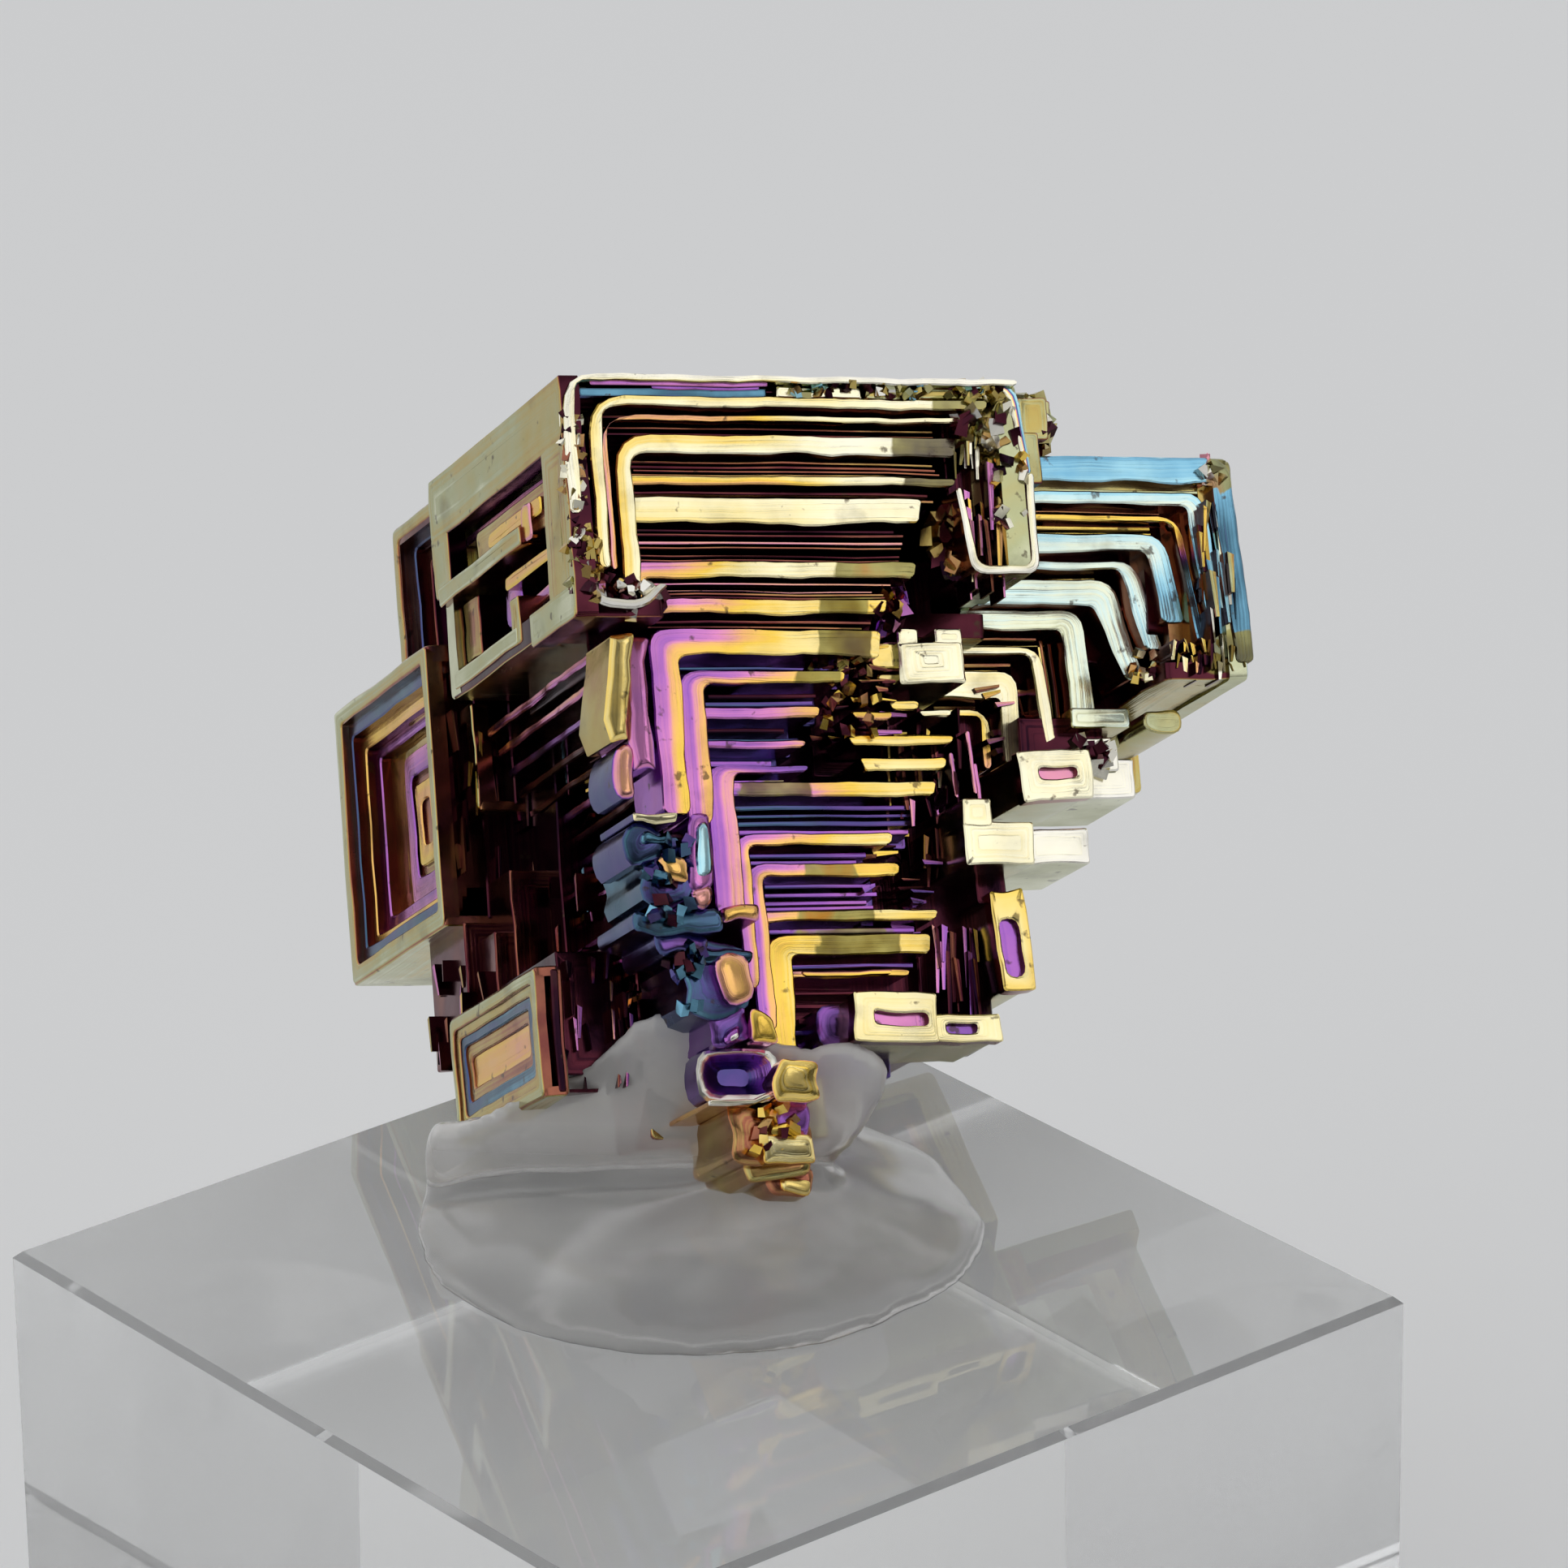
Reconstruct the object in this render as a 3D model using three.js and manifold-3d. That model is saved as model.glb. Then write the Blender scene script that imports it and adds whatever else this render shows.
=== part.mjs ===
// A bismuth hopper crystal cluster, held by a blob of clear glue on a clear acrylic display block.
// Units are millimetres, +Z is up, and the origin is the centre of the block's underside.
import * as THREE from 'three';
import { mergeVertices } from 'three/addons/utils/BufferGeometryUtils.js';
import Module from 'manifold-3d';

const wasm = await Module();
wasm.setup();

// ---- driving dimensions ----
const BLOCK_SIDE = 38;
const BLOCK_HEIGHT = 25;
const BLOCK_EDGE = 0.3;
const GAP = 0.3;
const GRID_PER_MM = 32;

// The cluster leans back on its lowest corner. Its own axes are x to the right, y to the back, z up.
const TIP = new THREE.Vector3(4.45, 0.75, BLOCK_HEIGHT + 1);
const LEAN = new THREE.Euler(
  THREE.MathUtils.degToRad(-30.7),
  THREE.MathUtils.degToRad(18.1),
  THREE.MathUtils.degToRad(-12.7),
  'XYZ',
);

// Main crystal: an inverted stepped pyramid with a flat rim on top.
const RIM = { left: -9.4, right: 9.4, front: -8.4, back: 7.7, top: 31.1 };
const RIM_FOOT = 21.7;
const CORE_BACK = 5;
const GROOVE_DEPTH = 1.2;
const PIT_STEPS = 6;
const PIT_DROP = 1.1;

// Terraces of the front hopper from the rim downward: the left edge x, the top z, the front y, the arm
// height, the right end, and for those with a left arm its width and foot.
const FRONT_TERRACES = [
  { x: -9.4, z: 31.1, y: -8.4, h: 0.4, end: 9.4, arm: 0.9, foot: 21.7 },
  { x: -8.3, z: 30.4, y: -8.1, h: 0.3, end: 8.4, arm: 0.7, foot: 23.6 },
  { x: -7.4, z: 29.8, y: -7.9, h: 0.4, end: 7.3 },
  { x: -7.3, z: 29.0, y: -7.6, h: 0.75, end: 7.0, arm: 0.7, foot: 22.6 },
  { x: -6.8, z: 27.5, y: -7.2, h: 0.4, end: 6.9 },
  { x: -6.7, z: 26.7, y: -6.9, h: 1.0, end: 5.9 },
  { x: -6.7, z: 24.3, y: -6.3, h: 0.65, end: 6.2, arm: 0.8, foot: 23.0 },
  { x: -5.8, z: 22.9, y: -6.0, h: 0.6, end: 4.8 },
  { x: -5.6, z: 21.8, y: -5.6, h: 1.05, end: 4.0, arm: 1.1, foot: 14.5 },
  { x: -4.4, z: 20.2, y: -5.1, h: 0.5, end: 2.9, arm: 0.9, foot: 14.2 },
  { x: -3.5, z: 18.9, y: -4.7, h: 0.45, end: 1.6 },
  { x: -3.4, z: 17.7, y: -4.3, h: 0.3, end: 1.3 },
  { x: -3.1, z: 16.8, y: -4.0, h: 0.3, end: 1.4, arm: 0.8, foot: 10.9 },
  { x: -2.2, z: 16.2, y: -3.6, h: 0.6, end: 6.5 },
  { x: -1.8, z: 14.3, y: -3.0, h: 0.5, end: 5.2, arm: 0.5, foot: 8.2 },
  { x: -1.2, z: 13.2, y: -2.6, h: 0.55, end: 5.5, arm: 0.4, foot: 6.6 },
  { x: -0.7, z: 11.4, y: -2.2, h: 0.45, end: 6.8 },
  { x: -0.4, z: 10.5, y: -1.9, h: 0.8, end: 6.5, arm: 1.0, foot: 5.6 },
  { x: 0.7, z: 9.2, y: -1.2, h: 0.3, end: 5.8 },
];
const FRONT_FLOOR = 5.6;

// Terraces of the right crystal's hopper, which is open on its left: the right edge x, the top z, the
// front y, the arm height, the left end, and the width and foot of the right arm.
const RIGHT_TERRACES = [
  { x: 19.0, z: 28.6, y: -6.4, h: 1.0, end: 10.3, arm: 0.7, foot: 19.6 },
  { x: 18.3, z: 27.5, y: -6.0, h: 0.5, end: 10.3, arm: 0.6, foot: 20.6 },
  { x: 17.1, z: 26.4, y: -4.8, h: 0.6, end: 10.0, arm: 0.6, foot: 22.3 },
  { x: 16.0, z: 25.3, y: -4.0, h: 0.4, end: 10.0, arm: 0.7, foot: 21.4 },
  { x: 15.0, z: 24.5, y: -3.2, h: 1.1, end: 9.4, arm: 0.8, foot: 20.4 },
  { x: 13.9, z: 23.6, y: -2.4, h: 0.8, end: 9.0, arm: 1.0, foot: 18.6 },
  { x: 12.2, z: 22.1, y: -1.6, h: 0.35, end: 8.8, arm: 0.5, foot: 18.0 },
  { x: 11.5, z: 21.3, y: -0.8, h: 1.1, end: 8.6, arm: 0.8, foot: 17.5 },
  { x: 10.5, z: 19.9, y: 0.0, h: 0.3, end: 7.5, arm: 0.4, foot: 17.5 },
];
const RIGHT_BACK = 6;
const RIGHT_FLOOR = 17.5;

// Glue: a round blob on the block, with a thin fin drawn up the side of the cluster.
const GLUE = { x: 2.8, y: 1.8, radius: 10.8, height: 3.4 };
const GLUE_COLLAR = { x: 3.6, y: 3.4, radius: 6.2, height: 6.6 };
const GLUE_SEGMENTS = 36;

// ---- helpers ----
const toSolid = (geometry) => {
  const plain = geometry.clone();
  plain.deleteAttribute('normal');
  plain.deleteAttribute('uv');
  const merged = mergeVertices(plain, 1e-5);
  return new wasm.Manifold(new wasm.Mesh({
    numProp: 3,
    vertProperties: new Float32Array(merged.attributes.position.array),
    triVerts: new Uint32Array(merged.index.array),
  }));
};

const toGeometry = (solid) => {
  const mesh = solid.getMesh();
  const geometry = new THREE.BufferGeometry();
  geometry.setAttribute('position', new THREE.BufferAttribute(mesh.vertProperties, 3));
  geometry.setIndex(new THREE.BufferAttribute(mesh.triVerts, 1));
  geometry.computeVertexNormals();
  return geometry;
};

// Faces lie on a binary grid, so that faces meant to be level are exactly level.
const snap = (value) => Math.round(value * GRID_PER_MM) / GRID_PER_MM;

// A box between two values on each of the cluster's own axes.
const box = (...limits) => {
  const [x0, x1, y0, y1, z0, z1] = limits.map(snap);
  const geometry = new THREE.BoxGeometry(x1 - x0, y1 - y0, z1 - z0);
  geometry.translate((x0 + x1) / 2, (y0 + y1) / 2, (z0 + z1) / 2);
  return toSolid(geometry);
};

const join = (solids) => solids.reduce((whole, solid) => whole.add(solid));

// The largest connected shell of a solid, so that a hollow closed on all sides is filled with metal.
const outerShell = (solid) => solid.decompose()
  .reduce((best, piece) => (piece.volume() > best.volume() ? piece : best));

// ---- main crystal ----
const frontHopper = () => {
  const solids = [];
  FRONT_TERRACES.forEach((t, i) => {
    const next = FRONT_TERRACES[i + 1];
    const lower = next ? next.z : FRONT_FLOOR;
    const grooveFront = (next ? next.y : t.y) + GROOVE_DEPTH;
    solids.push(box(t.x, t.end, t.y, CORE_BACK, t.z - t.h, t.z));
    solids.push(box(t.x, t.end - 0.3, grooveFront, CORE_BACK, lower - 0.05, t.z - t.h + 0.05));
    if (t.arm) solids.push(box(t.x, t.x + t.arm, t.y, CORE_BACK - 1, t.foot, t.z));
  });
  return join(solids);
};

// The rim block behind the front terraces.
const topBlock = () => {
  const { left, right, front, back, top } = RIM;
  return join([
    box(left + 0.9, right, front + 2.2, back, 26.1, top),
    box(left, right, front, back, top - 0.5, top),
    box(left, -4, front + 1.4, -5, RIM_FOOT, 27),
    box(left, -5.5, front + 0.1, -3.2, RIM_FOOT - 0.3, 22.9),
    box(-6.8, 8.6, -4, back - 1, 22, 27),
  ]);
};

// A stepped pit sunk into a top face between the given limits.
const sinkPit = (solid, { x0, x1, y0, y1, top, steps, drop }) => {
  const across = (x1 - x0) / (2 * steps + 3);
  const along = (y1 - y0) / (2 * steps + 3);
  let pitted = solid;
  for (let i = 1; i <= steps; i += 1) {
    pitted = pitted.subtract(box(
      x0 + across * i, x1 - across * i, y0 + along * i, y1 - along * i, top - drop * i, top + 1,
    ));
  }
  return pitted;
};

// The panel of frames on the left face of the rim block, each frame set a little further in.
const leftPanel = () => join([
  box(-9.45, -8, -8.4, -5.6, 21.5, 30.9),
  box(-9.45, -8, -8.4, 7.7, 28.6, 30.9),
  box(-9.45, -8, 6.9, 7.7, 26.1, 30.9),
  box(-9.45, -8, -3.2, 7.7, 26.1, 26.8),
]);

// The right end of the front hopper, which is a broken column with a small cup, and late blocks around it.
const rightColumn = () => join([
  box(6.7, 9.6, -8.2, -2, 27.4, 31.1),
  box(6.6, 9.8, -8.3, -2, 23.4, 27.5).subtract(box(7.2, 9.2, -9, -6.4, 23.9, 27.1)),
  box(9.0, 11.6, -6.6, -3, 29.0, 31.2),
  box(9.3, 10.6, -7.0, -2, 26.9, 29.6),
]);

const lowerBlocks = () => join([
  box(4.9, 7.6, -5.0, 2, 19.8, 22.0),
  box(4.0, 5.4, -4.6, 2, 20.4, 21.6),
  box(10.0, 13.0, -4.0, 2, 15.4, 17.4),
  box(12.6, 15.7, -2.6, 2.4, 15.6, 17.6),
  box(11.0, 14.8, -2.0, 3.4, 17.2, 19.4),
  box(7.2, 10.1, -4.5, 1, 12.7, 14.4),
  box(7.2, 8.4, -4.5, 1, 14.2, 15.3),
  box(10.0, 12.6, -4.0, 1, 12.8, 14.2),
  box(8.8, 10.2, -3.0, 2.4, 8.0, 12.0),
  box(2.2, 5.6, -4.0, 1.6, 5.8, 7.8),
  box(5.4, 8.3, -4.0, 1.6, 5.8, 6.9),
  box(6.4, 9.4, -2.0, 2.6, 6.4, 16.6),
]);

// The foot of the cluster: stacked blocks that narrow to the corner it stands on.
const foot = () => join([
  box(-7.1, -5.5, -6.1, -2, 14.1, 21.2),
  box(-7.9, -6.8, -6.5, -4, 14.8, 21.1),
  box(-6.8, -4.6, -5.6, -1, 11.4, 14.4),
  box(-6.1, -2.8, -5.0, -1, 9.7, 11.5),
  box(-4.4, -1.8, -4.4, 0, 6.9, 9.9),
  box(-3.5, -1.4, -4.2, 0, 5.6, 7.2),
  box(-4.2, -0.6, -3.6, 1.6, 3.7, 5.8),
  box(-1.4, 0.5, -4.3, 1.6, 3.5, 5.8),
  box(-3.2, 0.3, -3.3, 1.4, 1.2, 3.8),
  box(-1.9, 0.3, -3.6, 1.4, 1.1, 2.3),
  box(-1.4, 0.5, -2.6, 0.9, 0, 1.3),
  box(-4, 3, -0.6, 5, 3.4, 7.4),
  box(-5, 6.6, 1, 7, 6, 14),
]);

// ---- neighbours grown together with the main crystal ----
const rightCrystal = () => {
  const solids = [];
  RIGHT_TERRACES.forEach((t, i) => {
    const next = RIGHT_TERRACES[i + 1];
    const lower = next ? next.z : RIGHT_FLOOR;
    const grooveFront = (next ? next.y : t.y) + GROOVE_DEPTH;
    solids.push(box(t.end, t.x, t.y, RIGHT_BACK, t.z - t.h, t.z));
    solids.push(box(t.end, t.x, grooveFront, RIGHT_BACK, lower - 0.05, t.z - t.h + 0.05));
    solids.push(box(t.x - t.arm, t.x, t.y, RIGHT_BACK, t.foot, t.z));
    if (next) {
      solids.push(box(next.x - 0.05, t.x - t.arm + 0.05, grooveFront, RIGHT_BACK, t.foot, t.z));
    }
  });
  solids.push(box(13.2, 19.1, -6.6, -2.6, 19.5, 20.3));
  solids.push(box(13.4, 18.4, -3.4, 4, 18.7, 20));
  return join(solids);
};

// A cubic hopper seen from its left face: a box with nested square frames sinking into that face.
const leftHopper = ({ x0, x1, y0, y1, z0, z1, rim, steps, drop }) => {
  let body = box(x0, x1, y0, y1, z0, z1);
  for (let i = 0; i < steps; i += 1) {
    const inset = rim * (i + 1);
    body = body.subtract(box(
      x0 - 1, x0 + drop * (i + 1), y0 + inset, y1 - inset, z0 + inset, z1 - inset,
    ));
  }
  return body;
};

const rearCrystals = () => join([
  leftHopper({ x0: -8.5, x1: 5, y0: 2.2, y1: 16, z0: 22.8, z1: 31.1, rim: 0.8, steps: 4, drop: 0.9 })
    .subtract(box(-9, 6, 0, RIM.back - 0.2, 26.1, 32)),
  leftHopper({ x0: -9.6, x1: 1.4, y0: 9.4, y1: 22, z0: 13.3, z1: 24.8, rim: 0.9, steps: 4, drop: 0.7 }),
  leftHopper({ x0: -9.5, x1: -7.7, y0: -0.4, y1: 10.2, z0: 4.5, z1: 10.4, rim: 0.7, steps: 3, drop: 0.5 }),
  box(-8, -5.5, 0.4, 9.6, 5.6, 10.4),
  box(-5.6, -3, 2, 9.6, 6.6, 10.4),
  box(-8, -6.4, 8.8, 14.5, 18, 22.4),
  box(-6, 4, 6, 12, 8, 24),
  box(-7.6, -2, 7, 12, 9.5, 15),
  box(3, 12, 3, 12, 12, 25),
]);

// Stepped pits on the faces that look back, like those in front.
const rearPits = (rear) => {
  let solid = sinkPit(rear, {
    x0: -8.5, x1: 5, y0: RIM.back - 0.4, y1: 16, top: RIM.top, steps: 3, drop: PIT_DROP,
  });
  for (let i = 0; i < 4; i += 1) {
    const inset = 0.9 * (i + 1);
    const depth = 0.8 * (i + 1);
    solid = solid.subtract(box(
      -8.5 + inset, 5 - inset, 16 - depth, 17, 24.8 + inset * 0.5, 31.1 - inset * 0.6,
    ));
    solid = solid.subtract(box(-9.6 + inset, 1.4 - inset, 22 - depth, 23, 13.3 + inset, 24.8 - inset));
    solid = solid.subtract(box(3 + inset, 12 - inset, 12 - depth, 13, 12 + inset, 25 - inset));
  }
  return solid;
};

const mainCrystal = () => sinkPit(
  join([frontHopper(), topBlock(), leftPanel(), rightColumn(), lowerBlocks(), foot()]),
  {
    x0: RIM.left, x1: RIM.right, y0: RIM.front + 1.8, y1: RIM.back, top: RIM.top,
    steps: PIT_STEPS, drop: PIT_DROP,
  },
);

const cluster = () => join([mainCrystal(), rightCrystal(), rearPits(rearCrystals())]);

// ---- glue ----
const place = new THREE.Matrix4().makeRotationFromEuler(LEAN).setPosition(TIP);

const dome = ({ x, y, radius, height }) => {
  const points = [new THREE.Vector2(0, 0)];
  const rise = 9;
  for (let i = 0; i <= rise; i += 1) {
    const angle = (i / rise) * Math.PI / 2;
    points.push(new THREE.Vector2(radius * Math.cos(angle) ** 0.7, height * Math.sin(angle)));
  }
  points[points.length - 1].x = 0;
  const geometry = new THREE.LatheGeometry(points, GLUE_SEGMENTS);
  geometry.rotateX(Math.PI / 2);
  geometry.translate(x, y, BLOCK_HEIGHT + GAP);
  return toSolid(geometry);
};

// The room the cluster takes in the glue: its lowest blocks, each grown by the gap.
const glueRoom = () => {
  const grown = (x0, x1, y0, y1, z0, z1) => box(x0 - GAP, x1 + GAP, y0 - GAP, y1 + GAP, z0 - GAP, z1 + GAP);
  const room = join([
    grown(-1.4, 0.5, -2.6, 0.9, 0, 1.3),
    grown(-3.2, 0.5, -3.6, 1.4, 1.1, 3.8),
    grown(-4.2, 0.6, -4.3, 1.7, 3.4, 6),
    grown(-4.4, 3, -4.4, 5, 3.4, 12),
    grown(-9.5, -3, -0.4, 10.2, 4.5, 12),
    grown(-6.2, 10.3, -4.5, 14, 5.6, 16),
    grown(-9.6, 8, 5, 24, 6, 22),
  ]);
  return toSolid(toGeometry(room).applyMatrix4(place));
};

const glueSolid = () => outerShell(dome(GLUE).add(dome(GLUE_COLLAR)).subtract(glueRoom()));

// ---- acrylic block ----
const blockGeometry = () => {
  const half = BLOCK_SIDE / 2 - BLOCK_EDGE;
  const outline = new THREE.Shape([
    new THREE.Vector2(-half, -half), new THREE.Vector2(half, -half),
    new THREE.Vector2(half, half), new THREE.Vector2(-half, half),
  ]);
  const geometry = new THREE.ExtrudeGeometry(outline, {
    depth: BLOCK_HEIGHT - 2 * BLOCK_EDGE,
    bevelEnabled: true,
    bevelThickness: BLOCK_EDGE,
    bevelSize: BLOCK_EDGE,
    bevelSegments: 1,
  });
  geometry.translate(0, 0, BLOCK_EDGE);
  return geometry;
};

// ---- the group ----
const material = (color, roughness, metalness, opacity = 1) => new THREE.MeshStandardMaterial({
  color, roughness, metalness, opacity, transparent: opacity < 1,
});

const display = new THREE.Group();

const crystal = new THREE.Mesh(toGeometry(outerShell(cluster())), material('#b9a253', 0.25, 1));
crystal.name = 'bismuth_crystal';
crystal.position.copy(TIP);
crystal.rotation.copy(LEAN);
display.add(crystal);

const glue = new THREE.Mesh(toGeometry(glueSolid()), material('#d8d3cd', 0.15, 0, 0.5));
glue.name = 'clear_glue';
display.add(glue);

const block = new THREE.Mesh(blockGeometry(), material('#e6eaea', 0.05, 0, 0.4));
block.name = 'acrylic_block';
display.add(block);

export default display;
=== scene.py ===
"""The looks of a bismuth hopper crystal on a clear acrylic block.

The crystal is built in its own axes in millimetres: x to the right, y to the back, z up from the corner it stands
on. Every ledge is a closed shell with a number at each face corner, the thickness of its oxide film, and one
material turns that thickness into colour.
"""
import math
import random

import bpy
import numpy as np
from mathutils import Euler, Matrix, Vector, noise


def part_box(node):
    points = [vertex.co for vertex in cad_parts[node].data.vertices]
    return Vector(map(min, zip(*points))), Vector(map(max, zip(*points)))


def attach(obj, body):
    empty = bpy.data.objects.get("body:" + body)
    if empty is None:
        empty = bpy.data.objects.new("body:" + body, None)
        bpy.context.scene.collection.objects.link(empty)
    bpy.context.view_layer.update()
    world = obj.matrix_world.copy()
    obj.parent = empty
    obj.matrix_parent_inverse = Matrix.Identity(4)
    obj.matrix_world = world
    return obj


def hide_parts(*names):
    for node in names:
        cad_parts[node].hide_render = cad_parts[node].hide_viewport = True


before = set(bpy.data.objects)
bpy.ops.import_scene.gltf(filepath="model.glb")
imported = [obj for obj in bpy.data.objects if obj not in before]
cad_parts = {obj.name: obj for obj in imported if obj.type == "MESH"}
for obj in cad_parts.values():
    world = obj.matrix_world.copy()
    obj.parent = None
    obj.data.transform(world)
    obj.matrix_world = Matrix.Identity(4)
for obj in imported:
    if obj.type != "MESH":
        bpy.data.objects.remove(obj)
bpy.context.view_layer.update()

MM = 0.001
draw = random.Random(7)

# ---- the camera, at the photograph's viewing angle ----
CAMERA_PLACE = (-0.18398, -0.23243, 0.17290)
CAMERA_TURN = (66.724, 0.743, -39.339)
CAMERA_LENS = 197.8
SENSOR_WIDTH = 36.0

# ---- the cluster's place: its lowest corner, and how it leans ----
BLOCK_LOW, BLOCK_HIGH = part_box("acrylic_block")
BLOCK_TOP = BLOCK_HIGH[2]
TIP = Vector((0.00445, 0.00075, BLOCK_TOP + 0.001))
LEAN = (-30.7, 18.1, -12.7)
CLUSTER = Matrix.Translation(TIP) @ Euler([math.radians(a) for a in LEAN], "ZYX").to_matrix().to_4x4()

# ---- film thicknesses, as places along the colour ramp; the last, at the ramp's near-black end, is painted shade for grooves and the sides of ledges ----
SILVER, CREAM, PALE, GOLD, ORANGE, PINK, VIOLET = 0.0, 0.10, 0.17, 0.24, 0.31, 0.38, 0.46
INDIGO, BLUE, SKY, MINT, LIME, OLIVE, COPPER, MAROON_SHADE = 0.54, 0.61, 0.68, 0.75, 0.80, 0.86, 0.92, 1.0

EDGE = 0.06
UNEVEN = 0.16


def mix(a, b, t):
    return a + (b - a) * t


def camera():
    data = bpy.data.cameras.new("camera")
    data.lens = CAMERA_LENS
    data.sensor_width = SENSOR_WIDTH
    data.clip_start = 0.01
    data.clip_end = 20
    eye = bpy.data.objects.new("camera", data)
    eye.location = CAMERA_PLACE
    eye.rotation_euler = [math.radians(a) for a in CAMERA_TURN]
    bpy.context.collection.objects.link(eye)
    bpy.context.scene.camera = eye


# ---- faces of the crystal: p and q lie in the face, d grows into the metal ----
def front(p, q, d):
    return (p, d, q)


def left(p, q, d):
    return (d, p, q)


def right(p, q, d):
    return (-d, p, q)


def back(p, q, d):
    return (p, -d, q)


def top(p, q, d):
    return (p, q, -d)


def under(p, q, d):
    return (p, q, d)


def turned(face, centre, angle, tip=(0.0, 0.0), rough=0.0):
    """A face whose drawing is turned about a point, tipped in depth per millimetre, and its lines made rough."""
    c, s = math.cos(math.radians(angle)), math.sin(math.radians(angle))

    def place(p, q, d):
        a, b = p - centre[0], q - centre[1]
        shift = noise.noise_vector(Vector((p * 0.9, q * 0.9, centre[0]))) * rough
        a, b = a + shift.x, b + shift.y
        return face(centre[0] + a * c - b * s, centre[1] + a * s + b * c, d + tip[0] * a + tip[1] * b)
    return place


# ---- painted shadows on the ledges, where the broken column's shadow falls: limits in x and z, and the depth of the ledge ----
PAINTED_SHADOWS = (
    (1.4, 3.4, 22.0, 23.1, -6.0), (1.3, 3.7, 20.4, 22.0, -5.6), (2.1, 5.6, 23.4, 24.5, -6.3),
    (0.5, 2.4, 19.4, 20.5, -5.1), (-1.5, 1.3, 15.4, 16.4, -3.6), (1.5, 5.2, 9.5, 10.8, -1.9),
    (1.2, 3.4, 12.4, 13.4, -2.6), (0.8, 4.0, 10.8, 11.6, -2.2), (3.0, 3.7, 9.4, 10.9, -1.9),
    (4.2, 7.4, 28.0, 29.2, -7.6), (4.8, 7.0, 27.0, 27.7, -7.2), (6.0, 8.4, 29.8, 30.5, -8.1),
    (17.4, 19.4, 20.0, 21.6, -6.4), (17.9, 19.4, 27.4, 28.8, -6.4),
)


# painted shadow: how far a point lies inside one of the painted shadow patches
def painted_shadow(x, y, z):
    most = 0.0
    for x0, x1, z0, z1, depth in PAINTED_SHADOWS:
        if abs(y - depth) < 0.35:
            here = smooth((x - x0) / 0.8 + 0.5) * smooth((x1 - x) / 0.8 + 0.5)
            most = max(most, here * smooth((z - z0) / 0.3 + 0.5) * smooth((z1 - z) / 0.3 + 0.5))
    return most


class Shells:
    """Closed shells gathered into one mesh, with a film thickness at every face corner."""

    def __init__(self):
        self.verts = []
        self.faces = []
        self.films = []
        self.lines = []

    def add(self, verts, faces, films, lines=None):
        """One closed shell, turned so that its faces point out. lines has each point's distance from the rim."""
        volume = 0.0
        for face in faces:
            a = Vector(verts[face[0]])
            for b, c in zip(face[1:-1], face[2:]):
                volume += a.dot(Vector(verts[b]).cross(Vector(verts[c])))
        start = len(self.verts)
        self.verts.extend(verts)
        offset = (start % 97) * 0.31
        self.lines.extend([offset + at for at in lines] if lines else [offset] * len(verts))
        for face, film in zip(faces, films):
            pair = list(zip([start + i for i in face], film))
            if volume < 0:
                pair.reverse()
            self.faces.append([i for i, _ in pair])
            self.films.append([f for _, f in pair])

    def build(self, name, wobble=0.06):
        """The mesh object, in the cluster's place, with its straight lines a little uneven."""
        placed = []
        for x, y, z in self.verts:
            at = Vector((x, y, z))
            shift = noise.noise_vector(at * 0.4) * wobble
            shift += noise.noise_vector(at * 1.3 + Vector((9, 4, 2))) * wobble * 0.7
            placed.append(CLUSTER @ ((at + shift) * MM))
        mesh = bpy.data.meshes.new(name)
        mesh.from_pydata(placed, [], self.faces)
        film = mesh.attributes.new("film", "FLOAT", "CORNER")
        film.data.foreach_set("value", np.concatenate(self.films).astype(np.float32))
        # painted shadow: each point's share of the painted shadow patches, read by the material
        shadowed = mesh.attributes.new("painted_shadow", "FLOAT", "POINT")
        shadowed.data.foreach_set("value", np.array([painted_shadow(*at) for at in self.verts], dtype=np.float32))
        line = mesh.attributes.new("line", "FLOAT", "POINT")
        line.data.foreach_set("value", np.array(self.lines, dtype=np.float32))
        mesh.shade_smooth()
        mesh.set_sharp_from_angle(angle=math.radians(32))
        piece = bpy.data.objects.new(name, mesh)
        bpy.context.collection.objects.link(piece)
        return piece


def rounded(points, radii, cuts=4, closed=False):
    """The points of a line with its corners rounded; every corner gives the same number of points."""
    out = []
    last = len(points) - 1
    for i, corner in enumerate(points):
        if not closed and i in (0, last):
            out.append(corner)
            continue
        before = Vector(points[i - 1]) - Vector(corner)
        after = Vector(points[(i + 1) % len(points)]) - Vector(corner)
        reach = min(radii[i], before.length * 0.49, after.length * 0.49)
        start = Vector(corner) + before.normalized() * reach
        end = Vector(corner) + after.normalized() * reach
        for k in range(cuts + 1):
            t = k / cuts
            point = start * (1 - t) ** 2 + Vector(corner) * 2 * t * (1 - t) + end * t * t
            out.append((point.x, point.y))
    return out


def divided(one, other, step):
    """Two lines of as many points, both cut where the first has gaps longer than a step."""
    new_one, new_other = [one[0]], [other[0]]
    for i in range(1, len(one)):
        parts = max(1, round((Vector(one[i]) - Vector(one[i - 1])).length / step))
        for k in range(1, parts + 1):
            t = k / parts
            new_one.append(tuple(mix(a, b, t) for a, b in zip(one[i - 1], one[i])))
            new_other.append(tuple(mix(a, b, t) for a, b in zip(other[i - 1], other[i])))
    return new_one, new_other


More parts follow.
